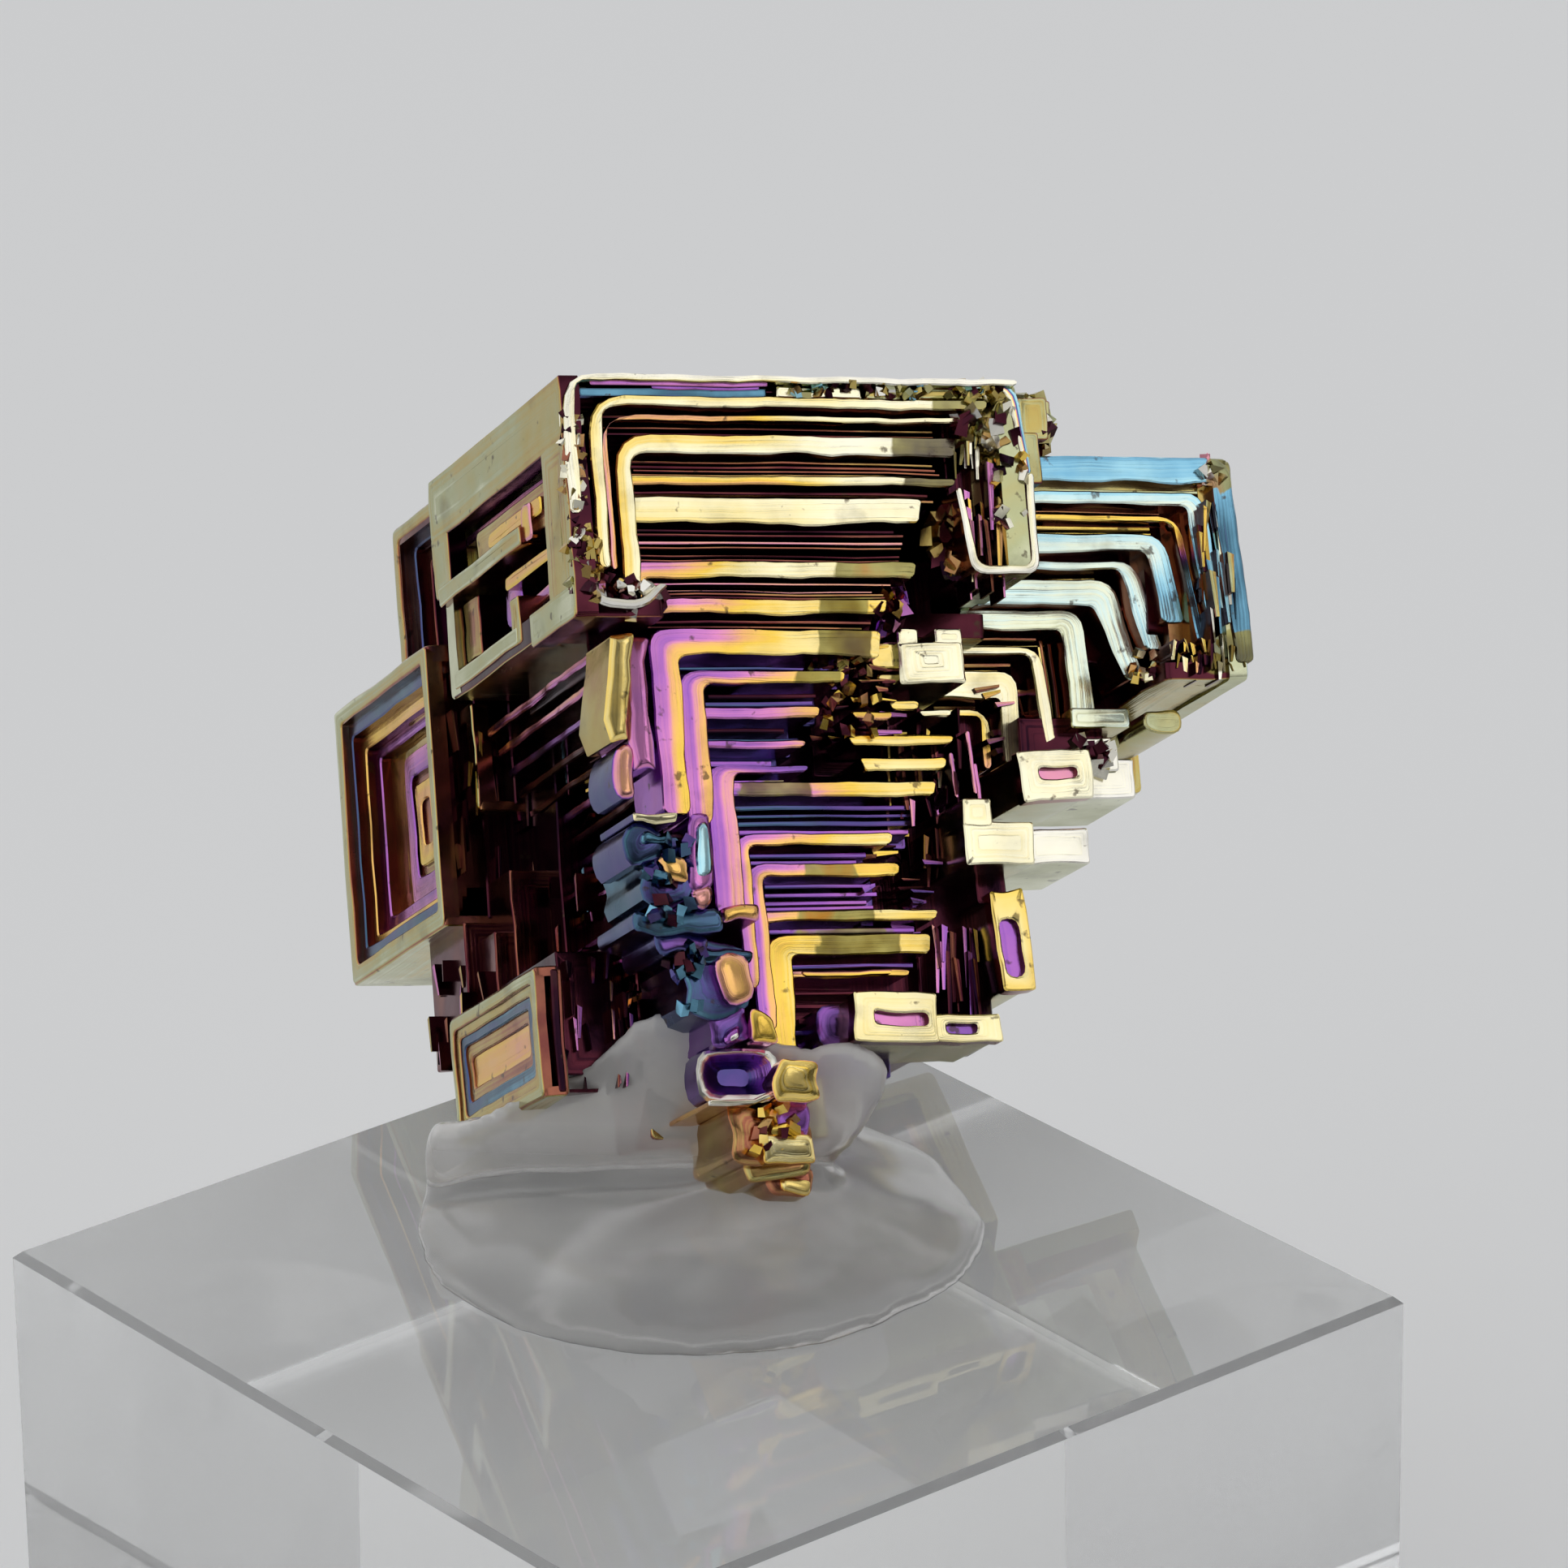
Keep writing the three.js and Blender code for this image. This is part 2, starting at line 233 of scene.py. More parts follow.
def round_end(line_out, line_in, last, tip):
    """The two lines with one end rounded off, so that an arm ends like a tongue."""
    a, b = (-1, -2) if last else (0, 1)
    o, i = Vector(line_out[a]), Vector(line_in[a])
    run = (o + i) / 2 - (Vector(line_out[b]) + Vector(line_in[b])) / 2
    reach = min(tip, (o - i).length * 0.45, run.length * 0.6)
    if reach < 0.06:
        return line_out, line_in
    run.normalize()
    across = (i - o).normalized()
    extra_o, extra_i = [], []
    for k in range(4):
        turn = math.pi / 2 * k / 3
        short = run * (reach * (1 - math.sin(turn)))
        narrow = across * (reach * (1 - math.cos(turn)))
        extra_o.append(tuple(o - short + narrow))
        extra_i.append(tuple(i - short - narrow))
    if last:
        return line_out[:-1] + extra_o, line_in[:-1] + extra_i
    return extra_o[::-1] + line_out[1:], extra_i[::-1] + line_in[1:]


PROFILE = ((0, "base"), (0, "lip"), (0, "face"), (0.22, "face"), (0.42, "face"), (0.58, "face"), (0.78, "face"),
           (1, "face"), (1, "lip"), (1, "base"))


def arm(shells, face, outer, inner, d0, d1, film, radius=0.5, inner_radius=0.15, tips=(0.15, 0.15), edge=EDGE,
        tilt=(0, 0), wall=COPPER, dish=0.0, step=0.5):
    """A ledge swept between an outer and an inner line, its face at depth d0 and its back at d1.

    film gives the thickness at (across, along, p, q), across being 0 at the outer line and 1 at the inner. tilt is
    the depth its face gains per millimetre of p and of q, and dish how far its middle sinks.
    """
    line_out = rounded(outer, [radius] * len(outer))
    line_in = rounded(inner, [inner_radius] * len(inner))
    line_out, line_in = divided(line_out, line_in, step)
    line_out, line_in = round_end(line_out, line_in, False, tips[0])
    line_out, line_in = round_end(line_out, line_in, True, tips[1])
    lengths = [0.0]
    for a, b in zip(line_out, line_out[1:]):
        lengths.append(lengths[-1] + (Vector(b) - Vector(a)).length)
    uneven = []
    for o, i in zip(line_out, line_in):
        change = noise.noise(Vector((i[0] * 0.6, i[1] * 0.6, d0 * 3))) * UNEVEN
        uneven.append(tuple(mix(b, a, change) for a, b in zip(o, i)))
    line_in = uneven
    verts, film_at, line_at = [], [], []
    columns = len(PROFILE)
    for s, (o, i) in enumerate(zip(line_out, line_in)):
        width = max((Vector(o) - Vector(i)).length, 1e-4)
        bevel = min(edge / width, 0.2)
        for across, level in PROFILE:
            if level == "face":
                across = min(max(across, bevel), 1 - bevel)
            p, q = mix(o[0], i[0], across), mix(o[1], i[1], across)
            depth = d0 + tilt[0] * (p - outer[0][0]) + tilt[1] * (q - outer[0][1])
            if level == "lip" or (level == "face" and s in (0, len(line_out) - 1)):
                depth += edge
            elif level == "face":
                depth += dish * 4 * across * (1 - across)
            if level == "base":
                depth = d1
            verts.append(face(p, q, depth))
            film_at.append(film(across, lengths[s] / lengths[-1], p, q))
            line_at.append(across * width)
    faces, films = [], []
    stations = len(line_out)
    for s in range(stations - 1):
        for c in range(columns):
            n = (c + 1) % columns
            quad = [s * columns + c, s * columns + n, (s + 1) * columns + n, (s + 1) * columns + c]
            faces.append(quad)
            side = c in (0, columns - 2, columns - 1)
            films.append([wall] * 4 if side else [film_at[v] for v in quad])
    for s in (0, stations - 1):
        cap = [s * columns + c for c in range(columns)]
        if s == 0:
            cap.reverse()
        faces.append(cap)
        films.append([wall] * len(cap))
    shells.add(verts, faces, films, line_at)


def loop(rect, radius, cuts=3, sides=5):
    """A rounded rectangle with the same number of points whatever its size."""
    p0, p1, q0, q1 = rect
    points = rounded([(p0, q0), (p1, q0), (p1, q1), (p0, q1)], [radius] * 4, cuts, closed=True)
    out = []
    for c in range(4):
        corner = points[c * (cuts + 1):(c + 1) * (cuts + 1)]
        out.extend(corner)
        following = points[((c + 1) * (cuts + 1)) % len(points)]
        for k in range(1, sides):
            out.append(tuple(mix(a, b, k / sides) for a, b in zip(corner[-1], following)))
    return out


def skin(shells, face, rings, closed_ring):
    """A shell over rings of (rect, radius, depth, film); a closed ring goes round a hole, else both ends are capped."""
    verts, faces, films, lines = [], [], [], []
    count = len(loop(rings[0][0], rings[0][1]))
    for rect, radius, depth, _ in rings:
        verts.extend(face(p, q, depth) for p, q in loop(rect, radius))
        lines.extend([rect[0] - rings[0][0][0]] * count)
    spans = len(rings) if closed_ring else len(rings) - 1
    for n in range(spans):
        m = (n + 1) % len(rings)
        film_a, film_b = rings[n][3], rings[m][3]
        if abs(film_a - film_b) > 0.2:
            film_a = film_b = min(film_a, film_b)
        for k in range(count):
            j = (k + 1) % count
            faces.append([n * count + k, n * count + j, m * count + j, m * count + k])
            films.append([film_a, film_a, film_b, film_b])
    if not closed_ring:
        faces.append(list(range(count))[::-1])
        films.append([rings[0][3]] * count)
        start = (len(rings) - 1) * count
        faces.append([start + k for k in range(count)])
        films.append([rings[-1][3]] * count)
    shells.add(verts, faces, films, lines)


def inset(rect, by):
    p0, p1, q0, q1 = rect
    by = min(by, (p1 - p0) * 0.45, (q1 - q0) * 0.45)
    return (p0 + by, p1 - by, q0 + by, q1 - by)


def plate(shells, face, rect, d0, d1, films, radius=0.12, edge=EDGE, crown=0.0):
    """A solid block seen from one face: film at its rim, film in its middle, film on its sides."""
    rim, middle, side = films
    half = min(rect[1] - rect[0], rect[3] - rect[2]) / 2
    rings = [(rect, radius, d1, side), (rect, radius, d0 + edge, side), (inset(rect, edge), radius, d0, rim),
             (inset(rect, half * 0.35), radius, d0 - crown * 0.7, mix(rim, middle, 0.5)),
             (inset(rect, half * 0.7), radius, d0 - crown, middle)]
    skin(shells, face, rings, False)


def hoop(shells, face, outer, inner, d0, d1, films, radii=(0.2, 0.2), edge=EDGE):
    """A frame round a hole: film at the outer rim, film at the hole, film on its walls."""
    rim, hole, wall = films
    mid = tuple(mix(a, b, 0.5) for a, b in zip(outer, inner))
    grown = (inner[0] - edge, inner[1] + edge, inner[2] - edge, inner[3] + edge)
    middle_radius = mix(radii[0], radii[1], 0.5)
    rings = [(outer, radii[0], d1, wall), (outer, radii[0], d0 + edge, wall), (inset(outer, edge), radii[0], d0, rim),
             (mid, middle_radius, d0, mix(rim, hole, 0.5)), (grown, radii[1], d0, hole),
             (inner, radii[1], d0 + edge, wall), (inner, radii[1], d1, wall)]
    skin(shells, face, rings, True)


def hopper(shells, face, rect, depth, steps, width, drop, films, radius=0.25, uneven=0.25):
    """Frames that shrink and sink one after another, with a plate at the bottom."""
    outer = rect
    for n in range(steps):
        inner = tuple(edge_at + sign * width * (1 + draw.uniform(-uneven, uneven))
                      for edge_at, sign in zip(outer, (1, -1, 1, -1)))
        if inner[1] - inner[0] < width or inner[3] - inner[2] < width:
            break
        rim, hole, wall = films[n % len(films)]
        hoop(shells, face, outer, inner, depth, depth + drop + 0.3, (rim, hole, wall), (radius, radius))
        outer = (inner[0] - 0.05, inner[1] + 0.05, inner[2] - 0.05, inner[3] + 0.05)
        depth += drop * (1 + draw.uniform(-uneven, uneven))
    rim, hole, wall = films[-1]
    plate(shells, face, outer, depth, depth + 0.5, (rim, hole, wall), radius)


def block(shells, limits, films, radius=0.1, face=front):
    """A small solid block between x, y and z limits, with its finished face to the front or to another side."""
    x0, x1, y0, y1, z0, z1 = limits
    if face is front:
        plate(shells, front, (x0, x1, z0, z1), y0, y1, films, radius)
    elif face is left:
        plate(shells, left, (y0, y1, z0, z1), x0, x1, films, radius)
    elif face is top:
        plate(shells, top, (x0, x1, y0, y1), -z1, -z0, films, radius)
    else:
        plate(shells, under, (x0, x1, y0, y1), z0, z1, films, radius)


# ---- the front hopper: left x, top z, front y, ledge height, right end, arm width, arm foot,
# films at the outer edge, the inner edge and the right end, and the x where the right end's film begins ----
FRONT = (
    (-9.4, 31.1, -8.4, 0.26, 9.4, 0.5, 25.6, 0.05, 0.11, 0.04, 2.0),
    (-8.3, 30.35, -8.1, 0.4, 8.2, 0.5, 23.6, 0.19, 0.12, 0.12, 3.0),
    (-7.7, 29.7, -7.8, 0.22, 7.3, 0.25, 23.6, 0.33, 0.30, 0.13, -1.0),
    (-7.15, 29.0, -7.6, 0.75, 7.0, 0.7, 22.4, 0.22, 0.12, 0.09, 0.0),
    (-6.8, 27.45, -7.2, 0.35, 6.9, 0.0, 0.0, 0.23, 0.30, 0.12, 1.0),
    (-6.7, 26.7, -6.9, 1.0, 5.6, 0.0, 0.0, 0.15, 0.18, 0.10, 0.0),
    (-6.7, 24.3, -6.3, 0.65, 5.4, 0.8, 22.6, 0.38, 0.28, 0.13, -3.0),
    (-5.8, 22.9, -6.0, 0.6, 4.2, 0.0, 0.0, 0.38, 0.30, 0.21, -2.4),
    (-5.6, 21.8, -5.6, 1.05, 4.0, 1.15, 14.5, 0.41, 0.25, 0.20, -1.6),
    (-4.4, 20.2, -5.1, 0.5, 2.5, 1.15, 14.2, 0.43, 0.29, 0.24, -0.4),
    (-3.5, 18.9, -4.7, 0.45, 1.5, 0.0, 0.0, 0.43, 0.41, 0.26, 0.2),
    (-3.4, 17.7, -4.3, 0.3, 1.0, 0.0, 0.0, 0.44, 0.42, 0.26, 0.4),
    (-3.1, 16.8, -4.0, 0.3, 1.2, 1.2, 10.9, 0.45, 0.31, 0.50, -1.0),
    (-2.2, 16.2, -3.6, 0.6, 6.5, 0.0, 0.0, 0.42, 0.47, 0.22, 1.6),
    (-1.8, 14.3, -3.0, 0.5, 4.8, 0.62, 8.2, 0.43, 0.31, 0.22, 0.6),
    (-1.2, 13.2, -2.6, 0.55, 5.2, 0.72, 6.6, 0.45, 0.31, 0.26, 1.2),
    (-0.7, 11.4, -2.2, 0.45, 6.8, 0.0, 0.0, 0.38, 0.31, 0.22, 1.0),
    (-0.4, 10.5, -1.9, 0.8, 6.5, 1.0, 5.6, 0.25, 0.23, 0.22, 1.6),
    (0.7, 9.2, -1.2, 0.3, 5.8, 0.0, 0.0, 0.34, 0.30, 0.27, 2.0),
)
FRONT_FLOOR = 5.6

# ---- the right crystal's hopper: right x, top z, front y, ledge height, left end, arm width, arm foot, how far the
# arm leans per millimetre, and films at the outer edge, at the inner edge and down the arm ----
RIGHT = (
    (19.0, 28.6, -6.4, 1.0, 9.6, 0.8, 20.3, 0.04, 0.65, 0.68, 0.62),
    (17.9, 27.3, -6.0, 0.5, 9.6, 0.75, 20.6, 0.10, 0.71, 0.76, 0.68),
    (17.0, 26.5, -5.4, 0.25, 9.6, 0.3, 21.4, 0.13, 0.27, 0.24, 0.66),
    (16.6, 25.9, -4.8, 0.75, 9.4, 0.85, 22.3, 0.16, 0.73, 0.77, 0.68),
    (15.6, 25.0, -4.0, 0.35, 9.4, 0.7, 21.4, 0.26, 0.77, 0.75, 0.74),
    (14.9, 24.45, -3.2, 1.05, 9.0, 0.85, 20.4, 0.28, 0.775, 0.755, 0.77),
    (13.9, 23.4, -2.4, 0.8, 8.6, 1.0, 18.6, 0.04, 0.785, 0.80, 0.775),
    (12.2, 22.1, -1.6, 0.35, 8.4, 0.5, 18.0, 0.12, 0.16, 0.12, 0.13),
    (11.5, 21.3, -0.8, 1.1, 8.2, 0.8, 17.5, 0.0, 0.14, 0.11, 0.12),
    (10.5, 19.9, 0.0, 0.3, 7.5, 0.4, 17.5, 0.0, 0.16, 0.22, 0.30),
)
RIGHT_FLOOR = 17.5
CORE_BACK = 5.0
GROOVE = 1.9


def smooth(t):
    t = min(max(t, 0.0), 1.0)
    return t * t * (3 - 2 * t)


def front_film(outer, inner, far, turn, share=0.55, spread=5.0):
    def film(across, along, p, q):
        value = mix(outer, inner, smooth((across - share) / 0.3 + 0.5))
        return mix(value, far, smooth((p - turn) / spread + 0.5))
    return film


def flat_film(outer, inner, share=0.5, width=0.4):
    return lambda across, along, p, q: mix(outer, inner, smooth((across - share) / width + 0.5))


def groove_lines(s, p0, p1, high, low, d_high, d_low, films, pitch):
    """The thin lines between two ledges, each a ledge of its own; their dark reddish films keep the oxide's hue, while
    their darkness and their near-black sides are painted shade in the groove.
    """
    gap = high - low
    count = min(6, int(gap / pitch))
    for k in range(count):
        z = high - gap * (k + 0.75 + draw.uniform(-0.15, 0.15)) / (count + 0.4)
        h = pitch * draw.uniform(0.35, 0.8)
        d = mix(d_high, d_low, (k + 1) / (count + 1)) + draw.uniform(0.25, 0.8)
        film = draw.choice(films)
        a, b = p0 + draw.uniform(0, 0.3), p1 - draw.uniform(0, 0.8)
        arm(s, front, [(a, z), (b, z)], [(a, z - h), (b, z - h)], d, d + 1.6,
            front_film(film, film + 0.03, film - 0.02, 1.0), tips=(0.05, 0.05), edge=0.03, wall=MAROON_SHADE, step=2.0)


def front_hopper(s):
    for n, (x, z, y, h, end, width, foot, outer, inner, far, turn) in enumerate(FRONT):
        film = front_film(outer, inner, far, turn)
        tilt = (draw.uniform(-0.012, 0.012), draw.uniform(-0.03, 0.03))
        corner = 1.5 if z > 28 else 0.8
        following = FRONT[n + 1] if n + 1 < len(FRONT) else None
        low = following[1] if following else FRONT_FLOOR
        wall_at = (following[2] if following else y) + GROOVE
        wall = 0.84 if n == 0 else COPPER if z > 23 else 0.44
        if width:
            arm(s, front, [(x, foot), (x, z), (end, z)], [(x + width, foot), (x + width, z - h), (end - 0.1, z - h)],
                y, wall_at + 0.6, film, radius=corner, inner_radius=corner * 0.4, tips=(0.3, 0.2), tilt=tilt,
                wall=wall)
        else:
            arm(s, front, [(x, z), (end, z)], [(x + 0.15, z - h), (end - 0.15, z - h)],
                y, wall_at + 0.6, film, tips=(0.15, 0.15), tilt=tilt, wall=wall)
        # painted shade: the groove below each ledge is filled with a near-black plate, and its thin lines get dark
        # films, so the groove stays dark where the key light reaches it
        groove_shade = MAROON_SHADE if z > 22 else 0.52
        deep = CORE_BACK if z < 26 else wall_at + 0.7
        plate(s, front, (x + 0.3, end - 0.4, low - 0.3, z - h + 0.15), wall_at, deep, (groove_shade, groove_shade, groove_shade))
        if z > 22:
            lines = (COPPER, 0.94, 0.95, 0.90, 0.93, 0.97, 0.34)
        else:
            lines = (0.50, VIOLET, 0.53, 0.48, 0.97, 0.56)
        groove_lines(s, x + (width or 0.3), end - 0.5, z - h, low, y, following[2] if following else y + 0.6, lines,
                     0.17 if z > 22 else 0.3)


def right_hopper(s):
    for n, (x, z, y, h, end, width, foot, lean, outer, inner, down) in enumerate(RIGHT):
        following = RIGHT[n + 1] if n + 1 < len(RIGHT) else None
        low = following[1] if following else RIGHT_FLOOR
        wall_at = (following[2] if following else y) + GROOVE * 0.8
        slide = lean * (z - foot)

        def film(across, along, p, q, outer=outer, inner=inner, down=down, x=x, z=z):
            value = mix(outer, inner, smooth((across - 0.5) / 0.5 + 0.5))
            return mix(value, down, smooth((z - q - 0.8) / 1.5))

        tilt = (draw.uniform(-0.006, 0.006), draw.uniform(-0.02, 0.02))
        arm(s, front, [(end, z), (x, z), (x + slide, foot)],
            [(end, z - h), (x - width, z - h), (x - width + slide, foot)],
            y, wall_at + 0.6, film, radius=0.9, inner_radius=0.3, tips=(0.15, 0.25), tilt=tilt, wall=0.93)
        if following and following[1] < z - h:
            # painted shade: a near-black plate and dark-filmed thin lines fill the groove below each arm
            plate(s, front, (end + 0.2, x - 0.3, low - 0.3, z - h + 0.15), wall_at, 5.2, (0.95, 0.97, 0.97))
            lines = (0.88, 0.90, 0.24, 0.86, 0.93) if z > 22 else (0.92, 0.36, 0.96, 0.24)
            groove_lines(s, end, x - width - 0.1, z - h, low, y, following[2], lines, 0.17)
        # the upright lines between this arm and the next
        if following:
            inner_x = following[0]
            gap = (x - width) - inner_x
            count = min(5, int(gap / 0.16))
            for k in range(count):
                at = x - width - gap * (k + 0.6) / (count + 0.2)
                d = mix(y, following[2], 0.5) + draw.uniform(0.5, 1.0)
                w = draw.uniform(0.08, 0.14)
                shade = draw.choice((0.88, 0.22, 0.90, 0.14, 0.86, 0.92))
                high = z - h - draw.uniform(0.2, 0.8)
                arm(s, front, [(at, high), (at + slide, foot + 0.3)], [(at - w, high), (at - w + slide, foot + 0.3)],
                    d, d + 1.5, flat_film(shade, shade + 0.02), tips=(0.04, 0.04), edge=0.03, wall=MAROON_SHADE,
                    step=2.0)
            # painted shade: a near-black plate behind the upright lines
            plate(s, front, (inner_x - 0.6, x - 0.2, foot + 0.1, z - h), wall_at + 0.3, 5.0, (0.97, 0.97, 0.97))


# ---- small late blocks: limits in x, y and z, and films at the rim, in the middle and on the sides ----
LATE_BLOCKS = (
    # at the right end of the front hopper
    ((10.1, 11.3, -6.6, -3, 29.2, 30.9), (0.85, 0.87, 0.97)),
    ((10.0, 10.7, -7.0, -2, 27.3, 29.4), (0.87, 0.85, 0.97)),
    ((10.6, 11.7, -5.9, -3, 29.9, 31.0), (0.84, 0.86, 0.97)),
    # right of the middle
    ((4.9, 7.6, -5.0, 2, 19.8, 21.45), (0.12, 0.11, 0.84)),
    ((4.9, 5.75, -5.0, 2, 21.3, 22.0), (0.12, 0.12, 0.84)),
    ((6.45, 7.6, -5.0, 2, 21.3, 22.0), (0.11, 0.11, 0.84)),
    ((3.9, 5.0, -4.6, 2, 20.5, 21.5), (0.22, 0.20, 0.86)),
    ((4.2, 5.2, -4.4, 2, 19.9, 20.3), (0.20, 0.20, 0.90)),
    ((12.6, 15.4, -2.6, 2.4, 15.7, 17.3), (0.04, 0.06, 0.82)),
    ((13.2, 14.7, -2.8, 3.0, 16.8, 18.1), (0.04, 0.02, 0.84)),
    ((11.0, 14.6, -1.6, 3.4, 17.2, 19.2), (0.98, 0.98, 0.98)),
    ((7.2, 10.1, -4.5, 1, 12.7, 14.4), (0.12, 0.13, 0.84)),
    ((7.2, 8.4, -4.55, 1, 14.2, 15.3), (0.12, 0.13, 0.84)),
    ((10.0, 12.6, -4.0, 1, 12.8, 14.2), (0.04, 0.05, 0.82)),
    # the dark wall between the front hopper and the blocks on its right
    ((6.4, 9.4, -0.4, 2.6, 6.4, 16.6), (0.98, 1.0, 1.0)),
    ((8.4, 9.6, -2.4, 2.6, 11.6, 13.4), (0.97, 1.0, 0.97)),
    ((2.2, 6.6, -1.6, 2.6, 16.8, 21.0), (0.98, 1.0, 1.0)),
    # the foot of the pale ledge in the right crystal
    ((13.0, 15.45, -2.43, 0.0, 18.6, 19.4), (0.78, 0.79, 0.86)),
)

# ---- short bars that carry a ledge on past a break: ends in x, top z, front y, height, films ----
BARS = (
    (2.7, 7.1, 17.85, -4.4, 0.38, 0.23, 0.21),
    (3.2, 6.85, 17.0, -4.2, 0.5, 0.22, 0.20),
    (2.9, 4.6, 18.75, -4.6, 0.3, 0.24, 0.30),
    (4.6, 5.9, 19.3, -4.2, 0.4, 0.21, 0.23),
    (5.9, 7.3, 18.95, -4.0, 0.3, 0.12, 0.14),
    (1.2, 5.0, 9.15, -1.3, 0.2, 0.31, 0.24),
)

# ---- blocks with a sunken middle: face limits, depth, the hole, films at the rim, the hole and the bottom,
# the hole's corner radius and how far the block is turned ----
PITTED = (
    ((10.0, 13.0, 15.4, 17.4), -4.0, (10.8, 12.4, 16.2, 16.7), (0.11, 0.12, 0.38), 0.24, 3),
    ((8.8, 10.2, 8.0, 12.0), -3.0, (9.0, 9.8, 8.5, 10.9), (0.21, 0.19, 0.45), 0.4, 4),
    ((2.2, 5.6, 5.8, 7.8), -4.0, (3.0, 5.3, 6.5, 7.0), (0.14, 0.15, 0.38), 0.22, -1),
    ((5.4, 8.3, 5.8, 6.9), -3.95, (6.0, 7.3, 6.15, 6.55), (0.15, 0.14, 0.48), 0.18, 0),
    ((4.95, 7.55, 19.85, 21.4), -5.04, (6.0, 6.5, 20.62, 20.82), (0.12, 0.11, 0.92), 0.1, 0),
)

# ---- the ridge at the lower left, down to the tip ----
RIDGE = (
    ((-7.75, -6.85, -6.5, -3.6, 17.1, 21.3), (0.21, 0.19, 0.86), 0.15),
    ((-7.75, -6.8, -6.35, -3.6, 14.8, 17.0), (0.37, 0.29, 0.55), 0.5),
    ((-6.9, -6.0, -6.15, -3, 16.0, 21.4), (0.38, 0.41, 0.46), 0.15),
    ((-6.95, -5.2, -5.9, -2, 14.15, 14.45), (0.15, 0.16, 0.55), 0.08),
    ((-7.2, -5.6, -5.6, -2, 12.6, 14.2), (0.60, 0.50, 0.56), 0.6),
    ((-6.7, -5.4, -5.75, -2, 13.2, 13.75), (0.62, 0.60, 0.55), 0.25),
    ((-6.6, -4.7, -5.3, -1, 11.0, 13.6), (0.58, 0.49, 0.60), 0.7),
    ((-5.9, -4.8, -5.75, -2, 11.9, 12.9), (0.30, 0.27, 0.55), 0.4),
    ((-4.5, -3.5, -5.3, -1, 11.4, 14.5), (0.44, 0.40, 0.48), 0.45),
    ((-4.25, -3.6, -5.4, -1, 11.9, 14.1), (0.70, 0.74, 0.48), 0.3),
    ((-4.6, -3.7, -5.5, -1, 10.9, 11.6), (0.36, 0.33, 0.48), 0.3),
    ((-6.9, -3.4, -5.2, -1, 10.0, 10.7), (0.62, 0.57, 0.58), 0.3),
    ((-6.2, -3.8, -4.9, -1, 9.2, 10.1), (0.57, 0.48, 0.55), 0.4),
    ((-3.2, -1.7, -4.7, 0, 10.5, 11.1), (0.34, 0.24, 0.40), 0.12),
    ((-4.9, -2.0, -4.4, 0, 6.9, 9.7), (0.60, 0.50, 0.55), 0.8),
    ((-4.3, -2.1, -4.55, 0, 8.9, 9.5), (0.60, 0.63, 0.55), 0.3),
    ((-3.6, -2.2, -4.75, 0, 7.2, 9.2), (0.35, 0.29, 0.40), 0.6),
    ((-4.0, -2.2, -4.3, 0, 5.7, 7.1), (0.50, 0.55, 0.50), 0.4),
    ((-3.5, -2.6, -4.5, 0, 5.75, 6.6), (0.46, 0.44, 0.46), 0.4),
    ((-3.3, -2.7, -4.55, 0, 5.8, 6.2), (0.03, 0.03, 0.46), 0.2),
    ((-2.25, -1.25, -4.6, 0, 5.7, 6.85), (0.26, 0.23, 0.38), 0.25),
    ((-1.35, 0.45, -4.3, 1.6, 3.5, 5.15), (0.22, 0.20, 0.34), 0.2),
    ((-4.0, 0.2, -3.95, 1.6, 3.55, 3.8), (0.02, 0.14, 0.30), 0.1),
    ((-3.0, 0.3, -3.2, 1.4, 1.3, 3.5), (0.90, 0.94, 0.90), 0.5),
    ((-1.3, 0.25, -3.35, 1.4, 2.4, 3.45), (0.46, 0.50, 0.40), 0.2),
    ((-2.4, 0.2, -3.0, 1.4, 0.7, 1.6), (0.86, 0.91, 0.90), 0.4),
    ((-1.9, 0.25, -3.65, 1.4, 1.15, 2.3), (0.18, 0.17, 0.30), 0.25),
    ((-1.9, -0.6, -3.6, 1.4, 2.2, 2.7), (0.24, 0.26, 0.30), 0.25),
    ((-1.3, 0.4, -2.6, 0.9, 0.05, 1.2), (0.91, 0.93, 0.91), 0.4),
    ((-0.9, 0.3, -2.75, 0.9, 0.15, 0.75), (0.20, 0.22, 0.30), 0.2),
)

